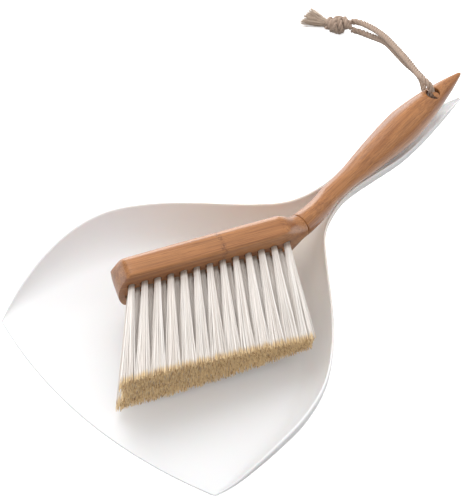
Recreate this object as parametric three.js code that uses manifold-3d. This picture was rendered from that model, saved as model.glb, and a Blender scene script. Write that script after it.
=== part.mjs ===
// Dust pan and hand brush set. Millimetres, +Z up.
// The pan lies flat on its tray, lip towards -Y and handle towards +Y, with the origin under the middle of
// the line between the two front corners. The brush lies on its side in the tray with its handle on the
// pan's handle, and the rope loop through the brush handle lies on the ground beside them.

import * as THREE from 'three';
import { mergeVertices } from 'three/addons/utils/BufferGeometryUtils.js';
import Module from 'manifold-3d';

const wasm = await Module();
wasm.setup();

// Gaps between pieces that touch.
const CONTACT_GAP = 0.3;
const MEETING_GAP = 0.3;
const RESTING_GAP = 0.4;

// Pan: one moulding, a tray that narrows into a channel-shaped handle.
const TRAY_LENGTH = 190;
const TRAY_WIDTH = 213;
const TRAY_HEIGHT = 31;
const LIP_BULGE = 16;
const LIP_THICKNESS = 1.3;
const LIP_TAPER = 24;
const SHELL_THICKNESS = 2.2;
const GRIP_LENGTH = 134;
const GRIP_WIDTH = 26;
const GRIP_HEIGHT = 41.2;
const GRIP_UNDERSIDE = 28.5;
const TIP_UNDERSIDE = 33.2;
const FLAT_LENGTH = 135;
const WALL_RADIUS_SHARE = 0.85;
const WALL_RADIUS_MIN = 2;
const WALL_RADIUS_LIMIT = 0.8;
const TIP_WALL_LIMIT = 0.45;

// Brush head: a block with a flat tuft face, a crowned back and one rounded end.
const HEAD_LENGTH = 122.7;
const HEAD_END_BULGE = 5.5;
const HEAD_WIDTH = 42.7;
const HEAD_BACK = 9;
const HEAD_FACE = 8.95;
const HEAD_CENTRE = 6.8;
const SHOULDER_LENGTH = 18;

// Brush handle: round, thin at the neck, thick in the palm and pointed at the end.
const HANDLE_LENGTH = 157.7;
const HANDLE_ANGLE = 28;
const HANDLE_DIAMETER = 23.6;
const NECK_DIAMETER = 13.6;
const JOINT_WIDTH = 21;
const JOINT_THICKNESS = 15.4;
const BEND_LENGTH = 25;
const BEND_HANDLE_LENGTH = 27.5;
const BEND_PULL = new THREE.Vector2(2, 7.2);
const JOINT_AT = 0.48;
const JOINT_LEAN = 8;
const HANG_HOLE_DIAMETER = 9;
const HANG_HOLE_ROLL = -7;
const HANG_HOLE_FROM_TIP = 28.7;
const DOWEL_DIAMETER = 6;
const DOWEL_LENGTH = 24;

// Tufts: three staggered rows that fan out towards a flat-trimmed end.
const TUFTS_LONG_ROW = 13;
const TUFT_PITCH = 8.65;
const FIRST_TUFT = 16.6;
const ROW_SPACING = 6.9;
const TUFT_DIAMETER = 4.6;
const TUFT_SEAT_DEPTH = 8;
const TUFT_TIP_DIAMETER = 9.2;
const BRISTLE_REACH = 67;
const FAN_AT_JOINT = 11;
const FAN_AT_END = 26;
const SPREAD_AT_JOINT = 1.3;
const SPREAD_AT_END = 7.5;
const TIP_ROUNDING = 2.2;

// Brush placement over the pan: turned about Z, then tipped and rolled.
const BRUSH_TURN = -114.66;
const BRUSH_TIP_UP = -1.39;
const BRUSH_ROLL = -13.86;
const BRUSH_POINT_PAST_GRIP = 0.76;
const BRUSH_SIDE_SHIFT = 5.24;

// Rope loop, its knot and its frayed ends, placed from the point of the ground below the hanging hole.
// A strand's rows give where its centre lies in plan and its height as a share of its hole mouth's height.
const ROPE_DIAMETER = 4.2;
const ROPE_STEP = 9;
const KNOT_LENGTH = 17.5;
const KNOT_DIAMETER = 12.6;
const KNOT_FACE_DIAMETER = 10.4;
const KNOT_CENTRE = new THREE.Vector3(-121.4, 40.3, 6.5);
const KNOT_AXIS = new THREE.Vector3(-0.724, -0.69, 0).normalize();
const TASSEL_START = new THREE.Vector3(-130.9, 35.4, 5.4);
const TASSEL_END = new THREE.Vector3(-146.9, 32.2, 4);
const TASSEL_WIDTH = 15;
const TASSEL_HEIGHT = 7;
const TASSEL_NECK = 4.3;
const UPPER_STRAND = [
  [-0.9, -0.3, 0.985], [-2.9, -0.6, 1.061], [-8.9, 0.5, 1.064], [-18.1, 5.2, 0.983],
  [-37.9, 16.8, 0.815], [-57, 28.2, 0.623], [-78.6, 39.9, 0.424], [-98.3, 48.5, 0.232],
  [-111.7, 51.4, 0.121], [-116.5, 48.6, 0.118],
];
const LOWER_STRAND = [
  [-1.4, 1, 0.974], [-3.9, 2.6, 0.888], [-10.5, 7, 0.862], [-26.1, 18, 0.893],
  [-45.1, 23.8, 0.815], [-61.9, 33, 0.614], [-80.1, 42.2, 0.399], [-96.5, 47, 0.178],
  [-107.1, 48.2, 0.077], [-112.9, 44.8, 0.099],
];

const COLOURS = { plastic: 0xe9e4dd, wood: 0xc79062, dowel: 0xd9b98a, bristle: 0xefe6da, rope: 0xbfa07a };

const smoothstep = (x) => {
  const t = THREE.MathUtils.clamp(x, 0, 1);
  return t * t * (3 - 2 * t);
};

// Gives a function that reads rows of [position, value, value, ...] with smooth curves between them.
function smoothRows(rows) {
  const slope = (i, column) => {
    const low = rows[Math.max(i - 1, 0)];
    const high = rows[Math.min(i + 1, rows.length - 1)];
    return (high[column] - low[column]) / (high[0] - low[0]);
  };
  return (position) => {
    let i = 0;
    while (i < rows.length - 2 && position > rows[i + 1][0]) {
      i += 1;
    }
    const step = rows[i + 1][0] - rows[i][0];
    const t = THREE.MathUtils.clamp((position - rows[i][0]) / step, 0, 1);
    const bend = t * t * (3 - 2 * t);
    return rows[i].slice(1).map((start, k) => {
      const column = k + 1;
      const end = rows[i + 1][column];
      const lift = t * (1 - t) * step * ((1 - t) * slope(i, column) - t * slope(i + 1, column));
      return start + bend * (end - start) + lift;
    });
  };
}

// Closes a grid of points: rows of equal length, joined along each row's ends as well when wrap is true.
function gridTriangles(rows, columns, wrap, at) {
  const triangles = [];
  const last = wrap ? columns : columns - 1;
  for (let i = 0; i + 1 < rows; i += 1) {
    for (let j = 0; j < last; j += 1) {
      const k = (j + 1) % columns;
      triangles.push(at(i, j), at(i, k), at(i + 1, k), at(i, j), at(i + 1, k), at(i + 1, j));
    }
  }
  return triangles;
}

function geometryFrom(points, triangles) {
  const geometry = new THREE.BufferGeometry();
  geometry.setAttribute('position', new THREE.Float32BufferAttribute(points.flatMap((p) => p.toArray()), 3));
  geometry.setIndex(triangles);
  return geometry;
}

// Joins rings of points into one solid, with a point in the middle of each end.
function loft(rings) {
  const count = rings[0].length;
  const middle = (ring) => ring.reduce((sum, p) => sum.add(p), new THREE.Vector3()).divideScalar(count);
  const points = [...rings.flat(), middle(rings[0]), middle(rings.at(-1))];
  const triangles = gridTriangles(rings.length, count, true, (i, j) => i * count + j);
  const first = rings.length * count;
  const end = (rings.length - 1) * count;
  for (let j = 0; j < count; j += 1) {
    const k = (j + 1) % count;
    triangles.push(first, k, j, first + 1, end + j, end + k);
  }
  return geometryFrom(points, triangles);
}

function toSolid(geometry) {
  const bare = geometry.index ? geometry.clone() : mergeVertices(geometry.clone());
  for (const name of ['normal', 'uv']) bare.deleteAttribute(name);
  const merged = mergeVertices(bare, 1e-4);
  const vertProperties = new Float32Array(merged.attributes.position.array);
  const triVerts = new Uint32Array(merged.index.array);
  return new wasm.Manifold(new wasm.Mesh({ numProp: 3, vertProperties, triVerts }));
}

function toGeometry(solid) {
  const mesh = solid.getMesh();
  const geometry = new THREE.BufferGeometry();
  geometry.setAttribute('position', new THREE.Float32BufferAttribute(mesh.vertProperties, 3));
  geometry.setIndex([...mesh.triVerts]);
  return geometry;
}

const turnFromY = (axis) => new THREE.Quaternion().setFromUnitVectors(new THREE.Vector3(0, 1, 0), axis);

function cylinderBetween(start, end, radius, sides) {
  const axis = end.clone().sub(start);
  const geometry = new THREE.CylinderGeometry(radius, radius, axis.length(), sides);
  geometry.applyQuaternion(turnFromY(axis.clone().normalize()));
  geometry.translate(...start.clone().addScaledVector(axis, 0.5).toArray());
  return geometry;
}

function makeMesh(name, geometry, colour, roughness) {
  const flat = geometry.index ? geometry.toNonIndexed() : geometry;
  flat.computeVertexNormals();
  const material = new THREE.MeshStandardMaterial({ color: colour, roughness, metalness: 0 });
  const mesh = new THREE.Mesh(flat, material);
  mesh.name = name;
  return mesh;
}

// ---------------------------------------------------------------- pan

// Rows along the pan: distance from the corner line, half width and rim height.
const tray = (along, width, height) => [
  along * TRAY_LENGTH, width * TRAY_WIDTH / 2, height * TRAY_HEIGHT];
const grip = (along, width, height) => [
  TRAY_LENGTH + along * GRIP_LENGTH, width * GRIP_WIDTH / 2, height * GRIP_HEIGHT];
const PAN_ROWS = [
  tray(0, 0.91, 0.05), tray(0.053, 0.946, 0.16), tray(0.116, 0.974, 0.345), tray(0.237, 1, 0.62),
  tray(0.368, 0.995, 0.81), tray(0.5, 0.924, 0.94), tray(0.632, 0.754, 1), tray(0.737, 0.562, 1.02),
  tray(0.842, 0.342, 1.06), tray(0.926, 0.18, 1.16),
  grip(0.015, 0.9, 0.924), grip(0.149, 0.695, 0.98), grip(0.313, 0.85, 1), grip(0.47, 1, 0.997),
  grip(0.612, 0.885, 0.98), grip(0.761, 0.625, 0.94), grip(0.896, 0.33, 0.89), grip(1, 0.07, 0.857),
];
const panRow = smoothRows(PAN_ROWS);
const PAN_END = TRAY_LENGTH + GRIP_LENGTH;

// Underside height: flat on the ground, rising to the grip and a little more at its tip.
function panUnderside(y) {
  const rise = smoothstep((y - FLAT_LENGTH) / (TRAY_LENGTH + 0.1 * GRIP_LENGTH - FLAT_LENGTH));
  const tipRise = smoothstep((y - TRAY_LENGTH - 0.6 * GRIP_LENGTH) / (0.4 * GRIP_LENGTH));
  return GRIP_UNDERSIDE * rise + (TIP_UNDERSIDE - GRIP_UNDERSIDE) * tipRise;
}

function panSection(y) {
  const [half, rim] = panRow(y);
  const floor = panUnderside(y);
  const radius = Math.min(WALL_RADIUS_SHARE * (rim - floor) + WALL_RADIUS_MIN, WALL_RADIUS_LIMIT * half);
  const full = THREE.MathUtils.lerp(LIP_THICKNESS, SHELL_THICKNESS, smoothstep(y / LIP_TAPER));
  const wall = Math.min(full, TIP_WALL_LIMIT * half);
  return { half, rim, floor, radius, wall };
}

// One point of the pan's skin. across runs from -1 at one rim to 1 at the other; inside picks the inner skin.
const FLAT_SHARE = 0.5;
function panPoint(y, across, inside) {
  const { half, rim, floor, radius, wall } = panSection(y);
  const side = Math.abs(across);
  const angle = Math.max((side - FLAT_SHARE) / (1 - FLAT_SHARE), 0) * Math.PI / 2;
  const offset = inside ? wall : 0;
  const flat = Math.min(side / FLAT_SHARE, 1) * (half - radius);
  const x = Math.sign(across) * (flat + (radius - offset) * Math.sin(angle));
  const z = floor + (rim - floor) * (1 - Math.cos(angle)) + offset * Math.cos(angle);
  const bulge = LIP_BULGE * (1 - (x / half) ** 2) * (1 - smoothstep(y / (0.35 * TRAY_LENGTH)));
  return new THREE.Vector3(x, y - bulge, z);
}

// One length of the moulding, from one distance along it to another.
function panStretch(start, end, steps) {
  const stations = Array.from({ length: steps + 1 }, (_, i) => THREE.MathUtils.lerp(start, end, i / steps));
  const across = 20;
  const skin = (inside) => stations.flatMap((y) => (
    Array.from({ length: across + 1 }, (_, j) => panPoint(y, 2 * j / across - 1, inside))));
  const points = [...skin(false), ...skin(true)];
  const inner = stations.length * (across + 1);
  const at = (i, j) => i * (across + 1) + j;
  const outside = gridTriangles(stations.length, across + 1, false, at);
  const insideFaces = gridTriangles(stations.length, across + 1, false, (i, j) => inner + at(i, j));
  const triangles = [...insideFaces];
  for (let k = 0; k < outside.length; k += 3) triangles.push(outside[k], outside[k + 2], outside[k + 1]);
  const border = (a, b) => triangles.push(a, b, inner + b, a, inner + b, inner + a);
  const lastRow = stations.length - 1;
  for (let j = 0; j < across; j += 1) {
    border(at(0, j), at(0, j + 1));
    border(at(lastRow, j + 1), at(lastRow, j));
  }
  for (let i = 0; i < lastRow; i += 1) {
    border(at(i + 1, 0), at(i, 0));
    border(at(i, across), at(i + 1, across));
  }
  return geometryFrom(points, triangles);
}

// Height of what lies under a point of the plan: the tray's inner skin, its rim, or nothing.
function panTop(x, y) {
  if (y < 0 || y > PAN_END) return LIP_THICKNESS;
  const { half, rim, floor, radius, wall } = panSection(y);
  const beyond = Math.abs(x) - (half - radius);
  if (Math.abs(x) > half + CONTACT_GAP) return 0;
  if (beyond <= 0) return floor + wall;
  if (beyond >= radius - wall) return rim;
  const cosine = Math.sqrt(1 - (beyond / (radius - wall)) ** 2);
  return floor + (rim - floor) * (1 - cosine) + wall * cosine;
}

// ---------------------------------------------------------------- brush, in its own frame
// X runs from the joint to the head's free end, Y towards the bristle tips and Z across the head.

const HANDLE_AXIS = new THREE.Vector3(
  -Math.cos(THREE.MathUtils.degToRad(HANDLE_ANGLE)), -Math.sin(THREE.MathUtils.degToRad(HANDLE_ANGLE)), 0);
const BEND = new THREE.QuadraticBezierCurve(
  new THREE.Vector2(BEND_LENGTH, HEAD_CENTRE),
  BEND_PULL,
  new THREE.Vector2(HANDLE_AXIS.x, HANDLE_AXIS.y).multiplyScalar(BEND_HANDLE_LENGTH),
);
const JOINT = new THREE.Vector3(...BEND.getPoint(JOINT_AT).toArray(), 0);

// Direction of the neck along the bend, turned by a share of the lean that the joint's faces have.
function bendDirection(t, lean) {
  const turn = THREE.MathUtils.degToRad(lean * JOINT_LEAN);
  const direction = BEND.getTangent(t).rotateAround(new THREE.Vector2(), turn);
  return new THREE.Vector3(direction.x, direction.y, 0);
}
const JOINT_AXIS = bendDirection(JOINT_AT, 1);
const LEAN_SHARE = 0.5;

// A closed ring about a centre: across is the Z half width, back and face the half depths of its two sides,
// and square goes from 0 for an ellipse to 1 for a box.
const RING_SIDES = 24;
function brushRing(centre, along, across, back, face, squareBack, squareFace) {
  const side = new THREE.Vector3(-along.y, along.x, 0).normalize();
  if (side.y < 0) side.negate();
  return Array.from({ length: RING_SIDES }, (_, k) => {
    const angle = -2 * Math.PI * (k + 0.5) / RING_SIDES;
    const sine = Math.sin(angle);
    const cosine = Math.cos(angle);
    const square = sine > 0 ? squareFace : squareBack;
    const power = THREE.MathUtils.lerp(1, 0.12, square);
    const deep = Math.sign(sine) * Math.abs(sine) ** power * (sine > 0 ? face : back);
    const wide = Math.sign(cosine) * Math.abs(cosine) ** THREE.MathUtils.lerp(1, 0.12, square) * across;
    return centre.clone().addScaledVector(side, deep).add(new THREE.Vector3(0, 0, wide));
  });
}

function headWidthAt(x) {
  const open = smoothstep((x - JOINT.x) / SHOULDER_LENGTH);
  return THREE.MathUtils.lerp(JOINT_WIDTH, HEAD_WIDTH, open) / 2;
}

function headRings() {
  const rings = [];
  const bendSteps = 6;
  for (let i = 0; i <= bendSteps; i += 1) {
    const t = JOINT_AT * (1 - i / bendSteps);
    const centre = new THREE.Vector3(...BEND.getPoint(t).toArray(), 0);
    const along = bendDirection(t, Math.max(1 - i / (LEAN_SHARE * bendSteps), 0));
    if (i === 0) centre.addScaledVector(along, -MEETING_GAP / 2);
    const open = smoothstep((centre.x - JOINT.x) / SHOULDER_LENGTH);
    const back = THREE.MathUtils.lerp(JOINT_THICKNESS / 2, HEAD_BACK, open);
    const face = THREE.MathUtils.lerp(JOINT_THICKNESS / 2, HEAD_FACE, open);
    rings.push(brushRing(centre, along, headWidthAt(centre.x), back, face, 0.45 * open, 0.85 * open));
  }
  const along = new THREE.Vector3(-1, 0, 0);
  for (const x of [0.4, 0.6, 0.8, 1].map((share) => share * HEAD_LENGTH)) {
    const centre = new THREE.Vector3(x, HEAD_CENTRE, 0);
    rings.push(brushRing(centre, along, HEAD_WIDTH / 2, HEAD_BACK, HEAD_FACE, 0.45, 0.85));
  }
  for (const share of [0.25, 0.5, 0.75, 0.92]) {
    const centre = new THREE.Vector3(HEAD_LENGTH + share * HEAD_END_BULGE, HEAD_CENTRE, 0);
    const half = HEAD_WIDTH / 2 * Math.sqrt(1 - share);
    rings.push(brushRing(centre, along, half, HEAD_BACK * (1 - 0.15 * share), HEAD_FACE, 0.45, 0.85));
  }
  return rings;
}

function tuftSeats() {
  const seats = [];
  const rows = [['front', 1, 0], ['middle', 0, 1], ['back', -1, 0]];
  for (const [row, side, shorter] of rows) {
    for (let i = 0; i < TUFTS_LONG_ROW - shorter; i += 1) {
      const place = i + shorter / 2;
      const share = place / (TUFTS_LONG_ROW - 1);
      const x = FIRST_TUFT + place * TUFT_PITCH;
      const root = new THREE.Vector3(x, HEAD_CENTRE + HEAD_FACE, side * ROW_SPACING);
      const lean = THREE.MathUtils.lerp(FAN_AT_JOINT, FAN_AT_END, share);
      const spread = side * THREE.MathUtils.lerp(SPREAD_AT_END, SPREAD_AT_JOINT, (1 - share) ** 2);
      const tip = root.clone().add(new THREE.Vector3(lean, BRISTLE_REACH, spread));
      const name = `tuft_${row}_${String(i + 1).padStart(2, '0')}`;
      seats.push({ name, root, tip, axis: tip.clone().sub(root).normalize() });
    }
  }
  return seats;
}

const TUFT_SIDES = 8;
function brushHead(seats) {
  let solid = toSolid(loft(headRings()));
  for (const { root, axis } of seats) {
    const bottom = root.clone().addScaledVector(axis, -TUFT_SEAT_DEPTH);
    const mouth = root.clone().addScaledVector(axis, TUFT_DIAMETER);
    const radius = TUFT_DIAMETER / 2 + CONTACT_GAP;
    solid = solid.subtract(toSolid(cylinderBetween(bottom, mouth, radius, TUFT_SIDES)));
  }
  return toGeometry(solid.subtract(toSolid(dowelGeometry(CONTACT_GAP))));
}

function tuft({ root, tip, axis }) {
  const sunk = TUFT_SEAT_DEPTH - CONTACT_GAP;
  const reach = tip.distanceTo(root);
  const radius = TUFT_DIAMETER / 2;
  const tipRadius = TUFT_TIP_DIAMETER / 2;
  const profile = [
    [0, -sunk], [radius, -sunk], [radius, 0], [tipRadius, reach - TIP_ROUNDING],
    [0.8 * tipRadius, reach - 0.2 * TIP_ROUNDING], [0, reach],
  ];
  const geometry = new THREE.LatheGeometry(profile.map(([r, y]) => new THREE.Vector2(r, y)), TUFT_SIDES);
  geometry.applyQuaternion(turnFromY(axis));
  return geometry.translate(...root.toArray());
}

// Handle radius against the distance from the joint: neck rows, then palm rows.
const neckRow = (along, radius) => [along * HANDLE_LENGTH, radius * NECK_DIAMETER];
const palmRow = (along, radius) => [along * HANDLE_LENGTH, radius * HANDLE_DIAMETER];
const handleRadius = smoothRows([
  [0, JOINT_THICKNESS / 2], neckRow(0.13, 0.507), neckRow(0.2, 0.497),
  palmRow(0.29, 0.3), palmRow(0.38, 0.37), palmRow(0.455, 0.422), palmRow(0.54, 0.472), palmRow(0.63, 0.497),
  palmRow(0.7, 0.46), palmRow(0.755, 0.415), palmRow(0.84, 0.31), palmRow(0.914, 0.203), palmRow(0.965, 0.11),
  palmRow(1, 0.04),
]);

function handleRings() {
  const rings = [];
  const bendSteps = 4;
  for (let i = 0; i <= bendSteps; i += 1) {
    const t = THREE.MathUtils.lerp(JOINT_AT, 1, i / bendSteps);
    const centre = new THREE.Vector3(...BEND.getPoint(t).toArray(), 0);
    const along = bendDirection(t, Math.max(1 - i / (LEAN_SHARE * bendSteps), 0));
    if (i === 0) centre.addScaledVector(along, MEETING_GAP / 2);
    const [radius] = handleRadius(JOINT.distanceTo(centre));
    const across = THREE.MathUtils.lerp(JOINT_WIDTH / 2, radius, smoothstep(i / bendSteps));
    rings.unshift(brushRing(centre, along, across, radius, radius, 0, 0));
  }
  const steps = 18;
  for (let i = 1; i <= steps; i += 1) {
    const distance = THREE.MathUtils.lerp(BEND_HANDLE_LENGTH, HANDLE_LENGTH, i / steps);
    const centre = HANDLE_AXIS.clone().multiplyScalar(distance);
    const [radius] = handleRadius(distance);
    rings.unshift(brushRing(centre, HANDLE_AXIS, radius, radius, radius, 0, 0));
  }
  return rings;
}

const HANG_HOLE = HANDLE_AXIS.clone().multiplyScalar(HANDLE_LENGTH - HANG_HOLE_FROM_TIP);
const HANG_HOLE_AXIS = new THREE.Vector3(0, 0, 1)
  .applyAxisAngle(HANDLE_AXIS, THREE.MathUtils.degToRad(HANG_HOLE_ROLL));
const HANG_HOLE_SIDES = 16;
function brushHandle() {
  const reach = HANG_HOLE_AXIS.clone().multiplyScalar(HANDLE_DIAMETER);
  const bottom = HANG_HOLE.clone().sub(reach);
  const hole = cylinderBetween(bottom, HANG_HOLE.clone().add(reach), HANG_HOLE_DIAMETER / 2, HANG_HOLE_SIDES);
  const solid = toSolid(loft(handleRings())).subtract(toSolid(hole));
  return toGeometry(solid.subtract(toSolid(dowelGeometry(CONTACT_GAP))));
}

// The dowel lies across the joint; with a clearance it is the cutter for both of its bores.
const DOWEL_SIDES = 12;
function dowelGeometry(clearance) {
  const half = JOINT_AXIS.clone().multiplyScalar(DOWEL_LENGTH / 2 + clearance);
  const radius = DOWEL_DIAMETER / 2 + clearance;
  return cylinderBetween(JOINT.clone().sub(half), JOINT.clone().add(half), radius, DOWEL_SIDES);
}

// ---------------------------------------------------------------- placing the brush

function placeBrush(brush, seats) {
  brush.rotation.set(
    THREE.MathUtils.degToRad(BRUSH_ROLL), THREE.MathUtils.degToRad(BRUSH_TIP_UP),
    THREE.MathUtils.degToRad(BRUSH_TURN), 'ZYX');
  const handleEnd = HANDLE_AXIS.clone().multiplyScalar(HANDLE_LENGTH).applyEuler(brush.rotation);
  brush.position.set(BRUSH_SIDE_SHIFT, PAN_END + BRUSH_POINT_PAST_GRIP - handleEnd.y, 0);
  brush.position.z = seatHeight(brush, seats);
}

// The lowest height that keeps the handle on the grip's rims and every tuft tip off the tray.
function seatHeight(brush, seats) {
  let height = 0;
  const keepClear = (point) => {
    const top = panTop(point.x + brush.position.x, point.y + brush.position.y);
    height = Math.max(height, top + RESTING_GAP - point.z);
  };
  const samples = 100;
  const turns = 16;
  for (let i = 0; i <= samples; i += 1) {
    const distance = THREE.MathUtils.lerp(BEND_LENGTH, HANDLE_LENGTH, i / samples);
    const centre = HANDLE_AXIS.clone().multiplyScalar(distance).applyEuler(brush.rotation);
    const [radius] = handleRadius(distance);
    for (let k = -turns; k <= turns; k += 1) {
      const angle = Math.PI / 2 * k / turns;
      const around = new THREE.Vector3(radius * Math.sin(angle), 0, -radius * Math.cos(angle));
      keepClear(around.add(centre));
    }
  }
  for (const { root, axis, tip } of seats) {
    const turn = turnFromY(axis);
    for (let k = 0; k < TUFT_SIDES; k += 1) {
      const angle = 2 * Math.PI * k / TUFT_SIDES;
      const around = new THREE.Vector3(Math.sin(angle), 0, Math.cos(angle));
      around.multiplyScalar(TUFT_TIP_DIAMETER / 2);
      around.y = tip.distanceTo(root) - TIP_ROUNDING;
      keepClear(around.applyQuaternion(turn).add(root).applyEuler(brush.rotation));
    }
  }
  return height;
}

// ---------------------------------------------------------------- rope

function ropeStrand(points) {
  const curve = new THREE.CatmullRomCurve3(points, false, 'centripetal');
  const steps = Math.round(curve.getLength() / ROPE_STEP);
  const section = new THREE.Shape();
  const sides = 10;
  for (let k = 0; k < sides; k += 1) {
    const angle = 2 * Math.PI * k / sides;
    const point = [ROPE_DIAMETER / 2 * Math.cos(angle), ROPE_DIAMETER / 2 * Math.sin(angle)];
    if (k === 0) {
      section.moveTo(...point);
    } else {
      section.lineTo(...point);
    }
  }
  return new THREE.ExtrudeGeometry(section, { steps, extrudePath: curve, curveSegments: 1 });
}

function knot() {
  const face = KNOT_FACE_DIAMETER / 2;
  const belly = KNOT_DIAMETER / 2;
  const half = KNOT_LENGTH / 2;
  const profile = [[0, -half], [face, -half], [belly, -0.45 * half], [0.9 * belly, 0], [belly, 0.45 * half],
    [face, half], [0, half]];
  const geometry = new THREE.LatheGeometry(profile.map(([r, y]) => new THREE.Vector2(r, y)), 12);
  geometry.applyQuaternion(turnFromY(KNOT_AXIS));
  return geometry.translate(...KNOT_CENTRE.toArray());
}

function tassel() {
  const along = TASSEL_END.clone().sub(TASSEL_START);
  const side = new THREE.Vector3(-along.y, along.x, 0).normalize();
  const up = new THREE.Vector3(0, 0, 1);
  const sides = 12;
  const ring = ([share, across, high]) => Array.from({ length: sides }, (_, k) => {
    const angle = 2 * Math.PI * k / sides;
    const centre = TASSEL_START.clone().addScaledVector(along, share);
    centre.addScaledVector(side, across / 2 * Math.cos(angle));
    return centre.addScaledVector(up, high / 2 * Math.sin(angle));
  });
  const rows = [
    [0, TASSEL_NECK, TASSEL_NECK], [0.4, 0.72 * TASSEL_WIDTH, TASSEL_HEIGHT],
    [0.8, TASSEL_WIDTH, TASSEL_HEIGHT], [1, 0.85 * TASSEL_WIDTH, 0.8 * TASSEL_HEIGHT],
  ];
  return loft(rows.map(ring));
}

// ---------------------------------------------------------------- assembly

const group = new THREE.Group();
const trayShell = panStretch(0, TRAY_LENGTH - MEETING_GAP / 2, 25);
const gripShell = panStretch(TRAY_LENGTH + MEETING_GAP / 2, PAN_END, 17);
group.add(makeMesh('dustpan_tray', trayShell, COLOURS.plastic, 0.55));
group.add(makeMesh('dustpan_grip', gripShell, COLOURS.plastic, 0.55));

const seats = tuftSeats();
const brush = new THREE.Group();
placeBrush(brush, seats);
brush.add(makeMesh('brush_head', brushHead(seats), COLOURS.wood, 0.45));
brush.add(makeMesh('brush_handle', brushHandle(), COLOURS.wood, 0.45));
brush.add(makeMesh('handle_dowel', dowelGeometry(0), COLOURS.dowel, 0.6));
for (const seat of seats) brush.add(makeMesh(seat.name, tuft(seat), COLOURS.bristle, 0.9));
group.add(brush);

brush.updateMatrixWorld(true);
const holeUp = HANG_HOLE_AXIS.clone().applyEuler(brush.rotation);
const holeCentre = HANG_HOLE.clone().applyMatrix4(brush.matrixWorld);
const [mouthReach] = handleRadius(HANDLE_LENGTH - HANG_HOLE_FROM_TIP);

// The points of one strand, from the middle of the hole out of its upper or lower mouth to the knot.
function strandPoints(away, rows) {
  const middle = new THREE.Vector3(0, 0, holeCentre.z);
  const start = middle.clone().addScaledVector(holeUp, away * MEETING_GAP / 2);
  const inside = middle.clone().addScaledVector(holeUp, away * mouthReach / 2);
  const mouth = holeCentre.z + away * mouthReach * holeUp.z;
  return [start, inside, ...rows.map(([x, y, height]) => new THREE.Vector3(x, y, height * mouth))];
}

const rope = new THREE.Group();
rope.position.set(holeCentre.x, holeCentre.y, 0);
rope.add(makeMesh('rope_strand_upper', ropeStrand(strandPoints(1, UPPER_STRAND)), COLOURS.rope, 0.95));
rope.add(makeMesh('rope_strand_lower', ropeStrand(strandPoints(-1, LOWER_STRAND)), COLOURS.rope, 0.95));
rope.add(makeMesh('cord_knot', knot(), COLOURS.rope, 0.95));
rope.add(makeMesh('cord_tassel', tassel(), COLOURS.rope, 0.95));
group.add(rope);

export default group;
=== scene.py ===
"""Looks of a dust pan with its hand brush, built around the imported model.

Lengths in the classes are in millimetres in the row frame; meshes are made in metres.
"""

import logging
from dataclasses import dataclass, field
from enum import Enum

import bpy
import numpy as np
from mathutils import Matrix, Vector


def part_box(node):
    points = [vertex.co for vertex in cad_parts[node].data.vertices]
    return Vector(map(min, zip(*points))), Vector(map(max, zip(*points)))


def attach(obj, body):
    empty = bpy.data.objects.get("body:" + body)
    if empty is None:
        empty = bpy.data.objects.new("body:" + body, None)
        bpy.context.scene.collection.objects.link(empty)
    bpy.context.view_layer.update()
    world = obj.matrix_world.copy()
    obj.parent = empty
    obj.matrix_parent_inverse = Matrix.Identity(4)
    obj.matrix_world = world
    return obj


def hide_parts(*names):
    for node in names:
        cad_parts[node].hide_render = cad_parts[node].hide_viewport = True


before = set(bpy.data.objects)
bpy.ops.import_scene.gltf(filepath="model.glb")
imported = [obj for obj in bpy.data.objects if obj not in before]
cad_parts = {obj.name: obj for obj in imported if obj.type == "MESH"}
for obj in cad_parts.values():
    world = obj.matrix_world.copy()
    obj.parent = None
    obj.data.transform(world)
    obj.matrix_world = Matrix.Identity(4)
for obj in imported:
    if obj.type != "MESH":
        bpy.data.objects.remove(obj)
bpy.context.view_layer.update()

LOG = logging.getLogger("dust_pan_set")
MM = 0.001

Array = np.ndarray
Rows = list[tuple[float, ...]]
Face = tuple[int, ...]
Strands = tuple[Array, list[Face], Array]
Span = tuple[float, float]
Triple = tuple[float, float, float]
Socket = bpy.types.NodeSocket

WHOLE: Span = (0.0, 1.0)
UP = np.array([0.0, 0.0, 1.0])
AHEAD = np.array([0.0, 1.0, 0.0])
BACKWARD = np.array([-1.0, 0.0, 0.0])
FULL_TURN = 2 * np.pi
TINY = 1e-12
STEEP = 0.9
KERNEL_REACH = 4
CURVE_STEPS = 24
HAIR_SIDES = 3


class Slot(Enum):
    """The record's material slots."""

    PAN = "pan_plastic"
    BAMBOO = "bamboo"
    DOWEL = "dowel_wood"
    BRISTLE = "bristle"
    ROPE = "rope"


class Body(Enum):
    """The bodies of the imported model."""

    PAN = "pan"
    BRUSH = "brush"
    CORD = "hanging_cord"


# ---------------------------------------------------------------- curves and meshes


def ease(value: Array | float) -> Array:
    """Smooth step from 0 to 1."""
    t = np.clip(value, 0.0, 1.0)
    return t * t * (3.0 - 2.0 * t)


def mix(low: Array | float, high: Array | float, share: Array | float) -> Array:
    """Straight blend from low to high."""
    return low + (high - low) * share


def unit(vectors: Array) -> Array:
    """Vectors scaled to length one."""
    return vectors / np.maximum(np.linalg.norm(vectors, axis=-1, keepdims=True), TINY)


def read_rows(rows: Rows, at: Array) -> Array:
    """Reads a profile with smooth curves between its rows.

    Args:
        rows: position, then one or more values, in order of position.
        at: positions to read, any shape.

    Returns:
        The values at each position, with one more axis than at.
    """
    table = np.array(rows, float)
    place = table[:, 0]
    values = table[:, 1:]
    slopes = np.gradient(values, axis=0) / np.gradient(place)[:, None]
    spot = np.clip(np.searchsorted(place, at, side="right") - 1, 0, len(place) - 2)
    step = (place[spot + 1] - place[spot])[..., None]
    t = np.clip((np.asarray(at, float)[..., None] - place[spot][..., None]) / step, 0.0, 1.0)
    lift = t * (1.0 - t) * step * ((1.0 - t) * slopes[spot] - t * slopes[spot + 1])
    return mix(values[spot], values[spot + 1], ease(t)) + lift


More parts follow.
